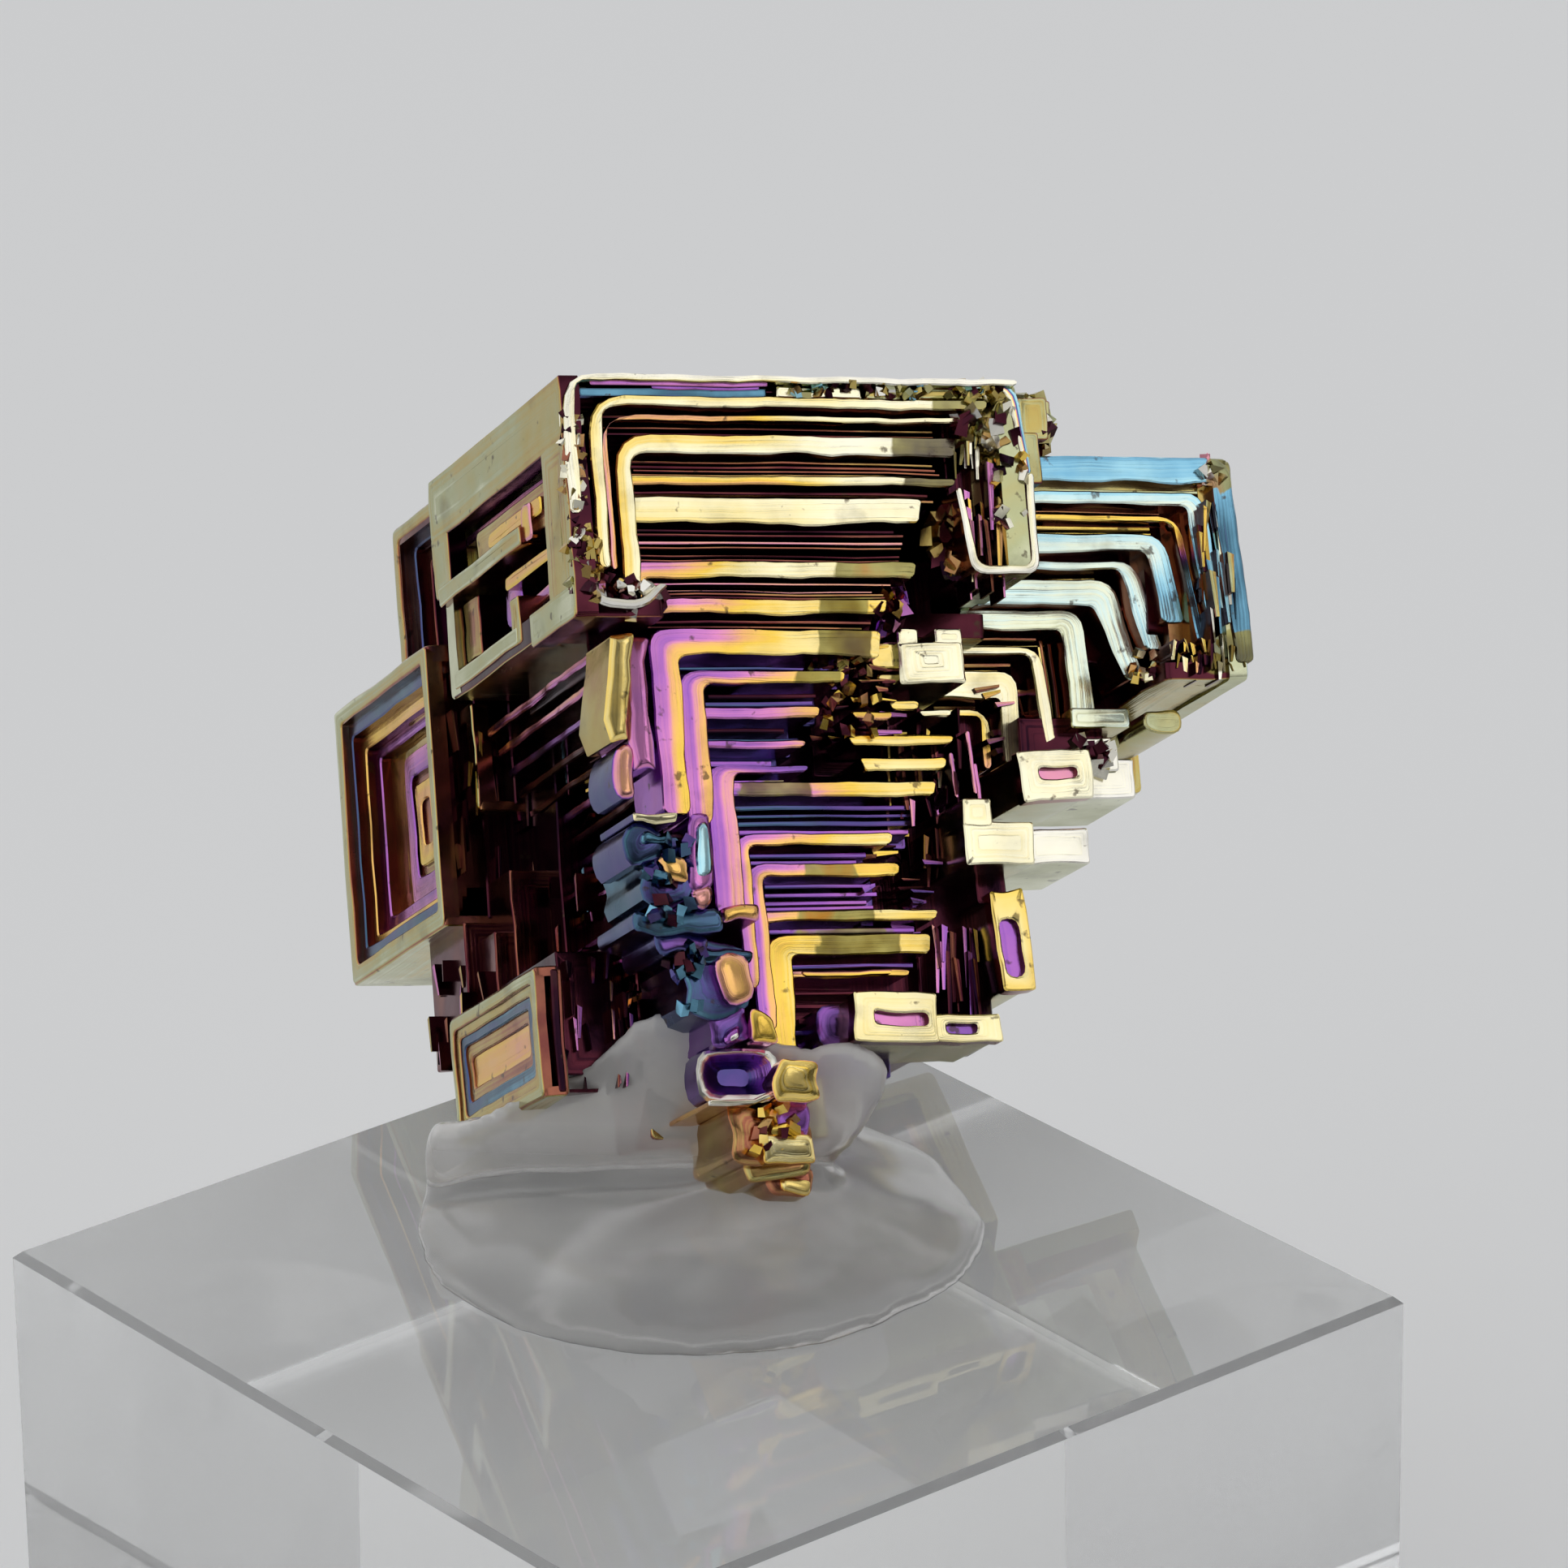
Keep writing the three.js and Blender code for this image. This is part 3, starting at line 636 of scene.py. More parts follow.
# ---- frames and bars on the left faces: y and z limits, x, thickness, films ----
LEFT_PLATES = (
    # the panel on the rim block
    ((-8.3, 8.2, 28.55, 31.05), -9.45, 0.8, (0.85, 0.83, 0.97), 0.1),
    ((6.3, 8.25, 26.2, 28.7), -9.44, 0.8, (0.84, 0.83, 0.97), 0.1),
    ((-8.3, -5.4, 21.7, 28.7), -9.43, 0.9, (0.84, 0.87, 0.97), 0.1),
    ((-8.2, -2.9, 21.65, 22.95), -9.46, 0.9, (0.83, 0.81, 0.97), 0.1),
    ((-2.5, 7.9, 25.85, 26.6), -9.46, 1.2, (0.82, 0.84, 0.92), 0.1),
    ((-3.4, -2.4, 25.9, 27.4), -9.3, 1.2, (0.34, 0.24, 0.92), 0.3),
    ((-5.6, 4.0, 26.2, 27.9), -9.0, 0.6, (0.86, 0.90, 0.93), 0.4),
    ((-4.4, 2.0, 26.7, 27.4), -9.2, 0.6, (0.24, 0.28, 0.93), 0.3),
    ((-5.6, 6.4, 28.0, 28.35), -8.6, 0.6, (0.42, 0.38, 0.46), 0.1),
    ((-5.4, 7.9, 22.2, 30.6), -7.6, 0.6, (0.98, 0.98, 0.98), 0.1),
    ((4.6, 6.4, 23.2, 25.6), -8.9, 1.2, (0.87, 0.90, 0.94), 0.1),
    ((-0.9, 7.1, 22.3, 23.0), -9.3, 1.2, (0.80, 0.84, 0.92), 0.1),
    ((-1.2, -0.2, 22.3, 24.2), -9.28, 1.0, (0.84, 0.88, 0.92), 0.1),
    ((0.6, 2.4, 23.6, 25.4), -8.5, 0.6, (0.46, 0.40, 0.94), 0.4),
    ((-4.4, 1.2, 24.9, 25.4), -8.9, 1.0, (0.24, 0.30, 0.94), 0.1),
    ((-3.4, 0.4, 23.8, 24.3), -8.4, 1.0, (0.36, 0.42, 0.94), 0.1),
)


def late_blocks(s):
    for limits, films in LATE_BLOCKS:
        block(s, limits, films, 0.12)
    for rect, y, hole, (rim, lip, bottom), radius, angle in PITTED:
        place = turned(front, ((rect[0] + rect[1]) / 2, (rect[2] + rect[3]) / 2), angle, (0.0, 0.0), 0.1)
        hoop(s, place, rect, hole, y, y + 0.7, (rim, lip, 0.92), (0.12, radius))
        plate(s, place, inset(rect, 0.1), y + 0.35, y + 5, (bottom, bottom, 0.84))
    for (x0, x1, y0, y1, z0, z1), films, radius in RIDGE:
        place = turned(front, ((x0 + x1) / 2, (z0 + z1) / 2), draw.uniform(-6, 6),
                       (draw.uniform(-0.2, 0.2), draw.uniform(-0.12, 0.12)), 0.32)
        films = (films[0], mix(films[0], films[1], 0.6), films[2])
        plate(s, place, (x0, x1, z0, z1), y0, y1, films, radius, crown=0.1)
    for x0, x1, z, y, h, outer, inner in BARS:
        arm(s, front, [(x0, z), (x1, z)], [(x0 + 0.2, z - h), (x1 - 0.1, z - h)], y, y + 2.5,
            flat_film(outer, inner), tips=(0.1, 0.2), wall=MAROON_SHADE)


def scraps(s, face, rect, depth, count, films, length, upright=True):
    """Thin broken bars at odd depths on a wall."""
    for _ in range(count):
        p, q = draw.uniform(rect[0], rect[1]), draw.uniform(rect[2], rect[3])
        run, width = draw.uniform(0.4, 1.0) * length, draw.uniform(0.08, 0.26)
        d = depth + draw.uniform(-0.5, 0.4)
        film = draw.choice(films)
        slant = draw.uniform(-0.15, 0.15)
        if upright:
            outer, inner = [(p, q), (p + slant, q - run)], [(p + width, q - 0.1), (p + width * 0.5 + slant, q - run)]
        else:
            outer, inner = [(p, q), (p + run, q + slant)], [(p + 0.1, q - width), (p + run, q - width * 0.5 + slant)]
        arm(s, face, outer, inner, d, d + 1.4, flat_film(film, film + 0.03), tips=(0.05, 0.05), edge=0.03,
            tilt=(draw.uniform(-0.2, 0.2), draw.uniform(-0.1, 0.1)), wall=0.96, step=5.0)


def broken_column(s):
    """The right end of the front hopper: a column whose face has broken away above a small cup."""
    arm(s, front, [(6.5, 26.8), (6.9, 23.4), (9.7, 23.4), (9.8, 27.4)],
        [(6.75, 26.8), (7.2, 23.7), (9.4, 23.7), (9.5, 27.4)], -8.3, -5.6, flat_film(0.04, 0.10), radius=0.6,
        inner_radius=0.45, wall=0.92)
    plate(s, front, (6.8, 9.6, 23.5, 31.0), -6.6, -2, (0.98, 0.98, 0.97))
    scraps(s, front, (7.0, 9.1, 25.0, 28.6), -7.5, 40, (0.11, 0.24, 0.22, 0.34, 0.38, 0.98, 0.90, 0.98, 0.26), 3.0)
    scraps(s, front, (6.8, 9.2, 28.5, 30.9), -7.4, 26, (0.04, 0.84, 0.98, 0.97, 0.88, 0.24), 1.8)
    arm(s, front, [(7.6, 31.05), (9.4, 31.05), (9.7, 27.4)], [(7.6, 30.8), (9.0, 30.8), (9.4, 27.4)], -8.3, -5.6,
        flat_film(0.70, 0.06), radius=1.1, inner_radius=0.8, wall=0.92)


def chips(s, place, count, size, films, spread):
    """Broken bits of metal, each a small rough lump with flat sides."""
    for _ in range(count):
        centre = Vector(place) + Vector([draw.uniform(-w, w) for w in spread])
        turn = Euler([draw.uniform(0, math.pi) for _ in range(3)]).to_matrix()
        points = []
        for x in (-1, 1):
            for y in (-1, 1):
                for z in (-1, 1):
                    p = Vector((x, y * 0.7, z * 0.8)) * size * draw.uniform(0.6, 1.1)
                    points.append(tuple(centre + turn @ p))
        sides = ((0, 1, 3, 2), (4, 6, 7, 5), (0, 4, 5, 1), (2, 3, 7, 6), (0, 2, 6, 4), (1, 5, 7, 3))
        faces = [tri for a, b, c, d in sides for tri in ((a, b, c), (a, c, d))]
        film = draw.choice(films)
        s.add(points, faces, [[film] * 3 for _ in faces])


# ---- broken metal: middle, how many, size, films, spread ----
CHIPS = (
    ((10.8, -5.6, 30.2), 26, 0.42, (0.84, 0.86, 0.04, 0.86, 0.98), (0.8, 0.7, 0.8)),
    ((8.2, -7.7, 29.7), 60, 0.36, (0.04, 0.86, 0.84, 0.02, 0.98, 0.98, 0.88), (1.1, 0.5, 1.3)),
    ((8.8, -7.9, 26.6), 22, 0.26, (0.04, 0.98, 0.98, 0.24, 0.88), (0.6, 0.4, 1.6)),
    ((-9.0, -8.1, 27.0), 70, 0.26, (0.04, 0.86, 0.88, 0.98, 0.98, 0.88), (0.3, 0.2, 2.6)),
    ((-8.9, -8.0, 23.8), 44, 0.3, (0.04, 0.86, 0.88, 0.98, 0.96, 0.88), (0.45, 0.25, 1.5)),
    ((-7.6, -7.7, 22.8), 22, 0.26, (0.02, 0.93, 0.98, 0.40, 0.98), (1.2, 0.3, 0.5)),
    ((-6.6, -7.2, 22.4), 12, 0.34, (0.02, 0.04, 0.46, 0.98, 0.98), (1.1, 0.3, 0.4)),
    ((4.6, -8.1, 30.72), 60, 0.22, (0.02, 0.84, 0.86, 0.98, 0.68, 0.88), (4.6, 0.3, 0.25)),
    ((6.6, -6.9, 24.9), 22, 0.4, (0.98, 0.98, 0.96, 0.86, 0.87), (0.7, 0.5, 1.2)),
    ((4.4, -5.5, 22.7), 22, 0.34, (0.98, 0.40, 0.46, 0.24, 0.96), (0.6, 0.5, 0.8)),
    ((18.2, -6.15, 28.1), 12, 0.34, (0.36, 0.04, 0.02, 0.04), (0.45, 0.15, 0.35)),
    ((15.6, -4.6, 20.6), 22, 0.22, (0.14, 0.22, 0.30, 0.96, 0.12), (0.9, 0.6, 0.5)),
    ((13.6, -3.0, 17.4), 14, 0.35, (0.98, 0.04, 0.98), (0.9, 0.2, 0.6)),
    ((2.6, -4.9, 19.2), 30, 0.24, (0.98, 0.24, 0.96, 0.90), (1.4, 0.4, 1.5)),
    ((-1.4, -3.4, 2.6), 20, 0.28, (0.93, 0.24, 0.90, 0.97, 0.22), (0.9, 0.4, 0.9)),
    ((-4.6, -4.6, 8.4), 20, 0.28, (0.60, 0.54, 0.62, 0.98), (0.8, 0.5, 1.4)),
    ((-5.6, -5.4, 12.0), 24, 0.28, (0.60, 0.54, 0.66, 0.98), (0.9, 0.4, 1.6)),
)


def left_side(s):
    for rect, x, thick, films, radius in LEFT_PLATES:
        plate(s, left, rect, x, x + thick, films, radius)
    # the steps of the hollow below, whose ledges run to the back
    for k in range(13):
        z = 21.2 - 0.85 * k
        x = -7.5 + 0.36 * k
        y = -5.2 + 0.36 * k
        film = draw.choice((0.40, 0.94, 0.36, 0.46, 0.34, 0.42))
        arm(s, left, [(y, z), (8.6, z - 0.1)], [(y + 0.1, z - 0.3), (8.6, z - 0.45)], x, x + 2.2,
            flat_film(film, film + 0.04), tips=(0.1, 0.1), wall=MAROON_SHADE)
        # painted shade: a near-black plate behind each step in the hollow
        plate(s, left, (y + 0.4, 8.8, z - 1.0, z - 0.2), x + 1.0, x + 3, (0.97, 0.98, 1.0))
    scraps(s, left, (-2.0, 7.5, 8.0, 21.0), -5.4, 46, (0.36, 0.40, 0.93, 0.44, 0.31, 0.96, 0.24), 3.0, False)
    scraps(s, left, (-1.0, 7.0, 8.0, 20.0), -5.8, 16, (0.40, 0.92, 0.34, 0.60), 2.0)


def cube(s, limits, sunk, films, step=(0.9, 0.7), core=0.3):
    """A crystal with hopper pits on the faces named, each with its number of steps, round a plain core."""
    x0, x1, y0, y1, z0, z1 = limits
    rects = {"front": (front, (x0, x1, z0, z1), y0), "back": (back, (x0, x1, z0, z1), -y1),
             "left": (left, (y0, y1, z0, z1), x0), "right": (right, (y0, y1, z0, z1), -x1),
             "top": (top, (x0, x1, y0, y1), -z1), "under": (under, (x0, x1, y0, y1), z0)}
    cuts = {}
    for name, (face, rect, depth) in rects.items():
        steps = sunk.get(name, 0)
        cuts[name] = steps * step[1] + core if name in sunk else 0.0
        rect = inset(rect, 0.06)
        if steps:
            hopper(s, face, rect, depth, steps, step[0], step[1], films, 0.3)
        elif name in sunk:
            plate(s, face, rect, depth, depth + 0.4, films[0], 0.15)
    limits = (x0 + cuts["left"], x1 - cuts["right"], y0 + cuts["front"], y1 - cuts["back"], z0 + cuts["under"],
              z1 - cuts["top"])
    block(s, limits, (0.98, 1.0, 1.0))


GREY_GOLD = ((0.83, 0.86, 0.92), (0.60, 0.57, 0.95), (0.24, 0.27, 0.95), (0.38, 0.44, 0.96), (0.25, 0.22, 0.97))
BLUE_GREY = ((0.85, 0.88, 0.93), (0.62, 0.57, 0.96), (0.90, 0.92, 0.96), (0.50, 0.46, 0.97), (0.54, 0.60, 0.97))
TEAL_RED = ((0.83, 0.86, 0.93), (0.86, 0.88, 0.93), (0.60, 0.585, 0.93), (0.89, 0.90, 0.93), (0.35, 0.33, 0.93),
            (0.87, 0.88, 0.93), (0.27, 0.30, 0.93))
GOLD_BLUE = ((0.14, 0.19, 0.86), (0.24, 0.34, 0.92), (0.38, 0.44, 0.92), (0.46, 0.54, 0.96), (0.58, 0.66, 0.96))
SKY_CREAM = ((0.66, 0.72, 0.82), (0.76, 0.80, 0.86), (0.12, 0.16, 0.90), (0.20, 0.26, 0.92), (0.34, 0.40, 0.96))


def rear_crystals(s):
    # the rim block: its stepped top, back and right
    hoop(s, top, (-9.4, 9.4, -7.0, 7.7), (-8.2, 8.3, -5.6, 6.6), -31.1, -30.0, GOLD_BLUE[0], (0.3, 0.3))
    hopper(s, top, (-8.25, 8.35, -5.65, 6.65), -30.2, 5, 1.0, 0.85, GOLD_BLUE)
    for x0, x1, z0, z1, y, film in ((-8.6, -0.9, 30.3, 30.7, -8.05, 0.565), (-5.6, -1.2, 30.62, 30.76, -8.15, 0.46),
                                    (-8.2, -0.9, 30.72, 30.88, -8.3, 0.40), (-0.5, 3.0, 30.35, 30.8, -8.1, 0.08),
                                    (3.2, 8.6, 30.35, 30.8, -8.05, 0.84)):
        block(s, (x0, x1, y, y + 1.2, z0, z1), (film, film + 0.03, 0.95), 0.08)
    block(s, (-9.3, 9.3, -7.2, -6.0, 30.0, 30.95), (0.97, 0.98, 0.98))
    block(s, (8.9, 9.35, -7.6, -4.0, 23.6, 30.6), (0.98, 0.98, 0.98))
    hopper(s, back, (-9.25, 9.3, 22.0, 31.0), -7.7, 4, 1.0, 0.8, SKY_CREAM)
    hopper(s, right, (-8.2, 7.6, 23.4, 31.0), -9.45, 3, 1.0, 0.7, SKY_CREAM)
    block(s, (-7.2, 7.2, -3.0, 4.2, 20.6, 25.2), (1.0, 1.0, 1.0))
    block(s, (-4.2, 6.0, -0.8, 4.2, 13.5, 21.5), (1.0, 1.0, 1.0))
    plate(s, under, (-9.2, 9.3, -3.2, 7.6), 22.0, 23.0, (0.84, 0.88, 0.98), 0.2)
    plate(s, under, (-9.3, -5.6, -7.6, -3.0), 21.8, 22.5, (0.90, 0.92, 0.98), 0.2)
    # the right crystal: top, right and back
    hopper(s, top, (9.6, 18.95, -6.3, 5.94), -28.62, 6, 0.62, 0.5, SKY_CREAM)
    hopper(s, right, (-6.3, 5.94, 19.65, 28.55), -19.05, 6, 0.62, 0.5, SKY_CREAM)
    hopper(s, back, (9.0, 18.94, 17.6, 28.54), -6.0, 4, 0.95, 0.7, GOLD_BLUE)
    block(s, (9.2, 15.8, 0.6, 3.0, 18.0, 25.6), (0.97, 0.97, 0.97))
    plate(s, under, (15.6, 19.0, -6.1, 5.8), 19.75, 20.4, (0.85, 0.87, 0.97), 0.3)
    plate(s, turned(front, (16.6, 18.8), -4, (0, 0), 0.2), (15.7, 17.6, 18.3, 19.2), -3.0, 4, (0.86, 0.84, 0.86), 0.45)
    scraps(s, front, (17.3, 18.9, 22.4, 27.4), -6.3, 34, (0.66, 0.70, 0.04, 0.98, 0.24, 0.86, 0.62), 2.6)
    scraps(s, front, (15.8, 19.0, 20.3, 21.4), -6.1, 40, (0.14, 0.22, 0.04, 0.98, 0.24, 0.30, 0.98), 0.8)
    plate(s, under, (7.5, 13.8, 1.4, 5.8), 17.5, 18.4, (0.90, 0.92, 0.98), 0.3)
    # the three crystals behind on the left
    cube(s, (-8.5, 5.0, 7.9, 16.0, 22.8, 31.05), {"left": 4, "back": 5, "right": 3, "top": 4, "under": 0}, BLUE_GREY,
         step=(0.7, 0.5))
    cube(s, (-9.6, 1.4, 9.6, 22.0, 13.3, 24.8), {"left": 4, "back": 4, "right": 3, "top": 3, "under": 0}, GREY_GOLD,
         step=(0.6, 0.4))
    plate(s, left, (12.0, 17.6, 15.2, 22.2), -8.1, 1.0, (0.87, 0.90, 0.97), 0.4)
    hoop(s, left, (12.4, 17.2, 15.6, 21.8), (13.4, 16.4, 16.6, 20.8), -8.3, -7.6, (0.38, 0.44, 0.95), (0.4, 0.4))
    hoop(s, left, (13.7, 16.1, 17.0, 20.4), (14.3, 15.5, 17.8, 19.6), -8.25, -7.6, (0.24, 0.29, 0.95), (0.3, 0.3))
    cube(s, (-9.5, -8.4, -0.6, 10.2, 4.5, 9.6), {"left": 5, "right": 0, "back": 0, "top": 0, "under": 0},
         TEAL_RED, step=(0.5, 0.1), core=0.15)
    block(s, (-8.2, -5.5, 0.6, 9.6, 5.6, 10.4), (0.97, 0.98, 1.0))
    block(s, (-5.7, -3.0, 1.8, 9.6, 6.4, 10.4), (0.97, 0.98, 1.0))
    cube(s, (-8.0, -4.4, 8.9, 15.0, 17.8, 22.3), {"left": 3, "under": 0}, GREY_GOLD, step=(0.6, 0.4))
    scraps(s, front, (-9.0, -3.0, 14.0, 22.0), 9.0, 40, (0.93, 0.36, 0.97, 0.40, 0.33, 0.97, 0.24), 2.4)
    scraps(s, front, (-8.2, -3.0, 6.0, 10.6), 0.4, 40, (0.93, 0.34, 0.97, 0.38, 0.33, 0.97, 0.42), 1.6)
    scraps(s, left, (-0.4, 9.4, 5.0, 10.4), -8.0, 20, (0.93, 0.34, 0.97, 0.38, 0.97), 2.0, False)
    # the metal that joins them
    cube(s, (-6.0, 4.0, 5.5, 12.0, 8.0, 24.0), {"back": 2, "right": 3, "under": 0}, GOLD_BLUE)
    cube(s, (3.0, 12.0, 4.5, 12.0, 12.0, 25.0), {"back": 4, "right": 4, "top": 3, "under": 3}, GOLD_BLUE)
    block(s, (-7.6, -2.0, 7.0, 12.0, 9.5, 15.0), (0.93, 0.97, 0.97))
    block(s, (-8.8, -4.5, 9.6, 14.0, 8.2, 13.4), (0.94, 0.97, 0.95))
    block(s, (-8.3, -4.5, 7.4, 10.0, 9.4, 12.6), (0.93, 0.96, 0.93))
    scraps(s, left, (8.0, 13.6, 9.0, 13.0), -8.9, 16, (0.93, 0.24, 0.90, 0.36, 0.86), 1.6)
    block(s, (-5.0, 6.6, 0.4, 6.6, 6.0, 14.0), (0.96, 0.97, 0.96))
    block(s, (-4.75, 2.6, 0.8, 5.0, 3.0, 7.0), (0.84, 0.86, 0.90), 0.3)
    block(s, (-6.2, -3.6, 6.0, 9.0, 6.3, 7.7), (0.33, 0.31, 0.33), 0.3)
    # broken metal in the middle, beside the ledges and below
    scraps(s, front, (1.2, 4.6, 17.6, 21.6), -4.2, 34, (0.97, 0.93, 0.24, 0.22, 0.90, 0.96, 0.40), 1.2, False)
    scraps(s, front, (4.6, 8.0, 15.4, 19.6), -2.8, 26, (0.97, 0.93, 0.36, 0.22, 0.92, 0.96, 0.12), 1.6)
    scraps(s, front, (3.4, 6.6, 10.2, 15.6), -1.7, 30, (0.97, 0.93, 0.50, 0.24, 0.92, 0.96, 0.44), 1.3, False)
    scraps(s, front, (6.8, 8.8, 9.4, 11.0), -1.2, 20, (0.38, 0.46, 0.93, 0.26, 0.97, 0.34, 0.42), 3.2)
    scraps(s, front, (6.6, 9.6, 13.2, 17.0), -1.4, 22, (0.97, 0.93, 0.30, 0.38, 0.96), 1.6)
    scraps(s, front, (9.4, 12.6, 18.0, 20.6), -0.6, 18, (0.93, 0.97, 0.24, 0.90, 0.34), 1.4, False)
    for x, z0, z1 in ((7.3, 15.6, 17.4), (8.1, 15.8, 18.3), (8.3, 15.2, 17.0)):
        arm(s, front, [(x, z1), (x + 0.15, z0)], [(x + 0.2, z1), (x + 0.3, z0)], -3.2, -1.5, flat_film(0.36, 0.40),
            tips=(0.08, 0.08), edge=0.03, wall=0.96)
    plate(s, front, (1.4, 3.2, 5.9, 7.7), -2.0, 1.0, (0.46, 0.50, 0.55), 0.7, crown=0.25)


def bowl(s):
    """The open cup just above the tip, dark inside with a bright torn edge."""
    rings = []
    for rect, radius, depth, film in (
            ((-4.3, -0.9, 3.6, 5.7), 0.8, -2.2, 0.54), ((-4.3, -0.9, 3.6, 5.7), 0.8, -3.55, 0.50),
            ((-4.2, -1.0, 3.7, 5.6), 0.8, -3.6, 0.02), ((-4.0, -1.15, 3.9, 5.5), 0.7, -3.5, 0.48),
            ((-3.6, -1.4, 4.2, 5.3), 0.6, -2.9, 0.50), ((-3.1, -1.8, 4.4, 5.1), 0.5, -2.6, 0.56)):
        rings.append((rect, radius, depth, film))
    skin(s, front, rings, False)


def crystal():
    s = Shells()
    front_hopper(s)
    right_hopper(s)
    late_blocks(s)
    broken_column(s)
    left_side(s)
    rear_crystals(s)
    bowl(s)
    arm(s, front, [(-9.1, 23.4), (-8.7, 22.1), (-6.6, 21.9), (-5.4, 23.0)],
        [(-8.7, 23.4), (-8.4, 22.45), (-6.7, 22.35), (-5.9, 23.0)], -8.1, -6.9, flat_film(0.02, 0.05), radius=0.9,
        inner_radius=0.6, edge=0.12, tilt=(0.1, 0.2), wall=0.97)
    arm(s, front, [(-7.0, 22.9), (-6.2, 23.3), (-5.5, 22.5)], [(-6.9, 22.6), (-6.3, 22.9), (-5.9, 22.4)], -8.0, -7.0,
        flat_film(0.02, 0.03), radius=0.5, inner_radius=0.3, edge=0.1, tilt=(0.2, -0.2), wall=0.97)
    for place, count, size, films, spread in CHIPS:
        chips(s, place, count, size, films, spread)
    return s.build("bismuth_cluster")


# ---- materials ----
# the last stop, near black, is painted shade: it colours the grooves and the sides of ledges
RAMP = (
    (0.00, (0.84, 0.82, 0.78)), (0.10, (0.95, 0.90, 0.66)), (0.17, (0.93, 0.79, 0.38)), (0.24, (0.90, 0.60, 0.09)),
    (0.31, (0.88, 0.46, 0.20)), (0.38, (0.72, 0.26, 0.52)), (0.46, (0.36, 0.13, 0.52)), (0.54, (0.09, 0.07, 0.24)),
    (0.60, (0.06, 0.14, 0.20)), (0.65, (0.20, 0.46, 0.64)), (0.70, (0.40, 0.70, 0.80)), (0.75, (0.68, 0.82, 0.76)),
    (0.79, (0.80, 0.82, 0.60)), (0.83, (0.46, 0.48, 0.27)), (0.87, (0.52, 0.40, 0.12)), (0.91, (0.38, 0.14, 0.08)),
    (0.95, (0.11, 0.022, 0.035)), (1.00, (0.018, 0.006, 0.014)),
)


# ---- the colours of the painted shadows ----
SHADOW_TINTS = ((0.30, (0.03, 0.012, 0.012)), (0.45, (0.16, 0.13, 0.03)), (0.56, (0.30, 0.27, 0.08)),
           (0.68, (0.40, 0.14, 0.02)))


class Nodes:
    """A short way to write a material's nodes."""

    def __init__(self, name):
        self.material = bpy.data.materials.new(name)
        self.material.use_nodes = True
        self.tree = self.material.node_tree
        self.shader = self.tree.nodes["Principled BSDF"]

    def add(self, kind, **settings):
        node = self.tree.nodes.new(kind)
        for key, value in settings.items():
            if key in node.inputs:
                node.inputs[key].default_value = value
            else:
                setattr(node, key, value)
        return node

    def link(self, source, target):
        self.tree.links.new(source, target)

    def noise(self, scale, detail=3.0, vector=None):
        node = self.add("ShaderNodeTexNoise", Scale=scale, Detail=detail)
        self.link(vector or self.place(), node.inputs["Vector"])
        return node.outputs["Fac"]

    def place(self):
        if not hasattr(self, "coords"):
            self.coords = self.add("ShaderNodeTexCoord").outputs["Object"]
        return self.coords

    def remap(self, source, low, high, from_low=0.0, from_high=1.0):
        node = self.add("ShaderNodeMapRange")
        for name, value in (("From Min", from_low), ("From Max", from_high), ("To Min", low), ("To Max", high)):
            node.inputs[name].default_value = value
        self.link(source, node.inputs["Value"])
        return node.outputs["Result"]

    def math(self, operation, a, b):
        node = self.add("ShaderNodeMath", operation=operation)
        for socket, value in zip(node.inputs, (a, b)):
            if isinstance(value, (int, float)):
                socket.default_value = value
            else:
                self.link(value, socket)
        return node.outputs[0]

    def bump(self, height, strength, distance, before=None):
        node = self.add("ShaderNodeBump", Strength=strength, Distance=distance)
        self.link(height, node.inputs["Height"])
        if before:
            self.link(before, node.inputs["Normal"])
        return node.outputs["Normal"]


def fill_ramp(stops, wanted):
    """Stops keep themselves in order, so the first and last are set and the others are added where they belong."""
    for stop, (at, colour) in ((stops[0], wanted[0]), (stops[-1], wanted[-1])):
        stop.position = at
        stop.color = (*colour, 1)
    for at, colour in wanted[1:-1]:
        stops.new(at).color = (*colour, 1)


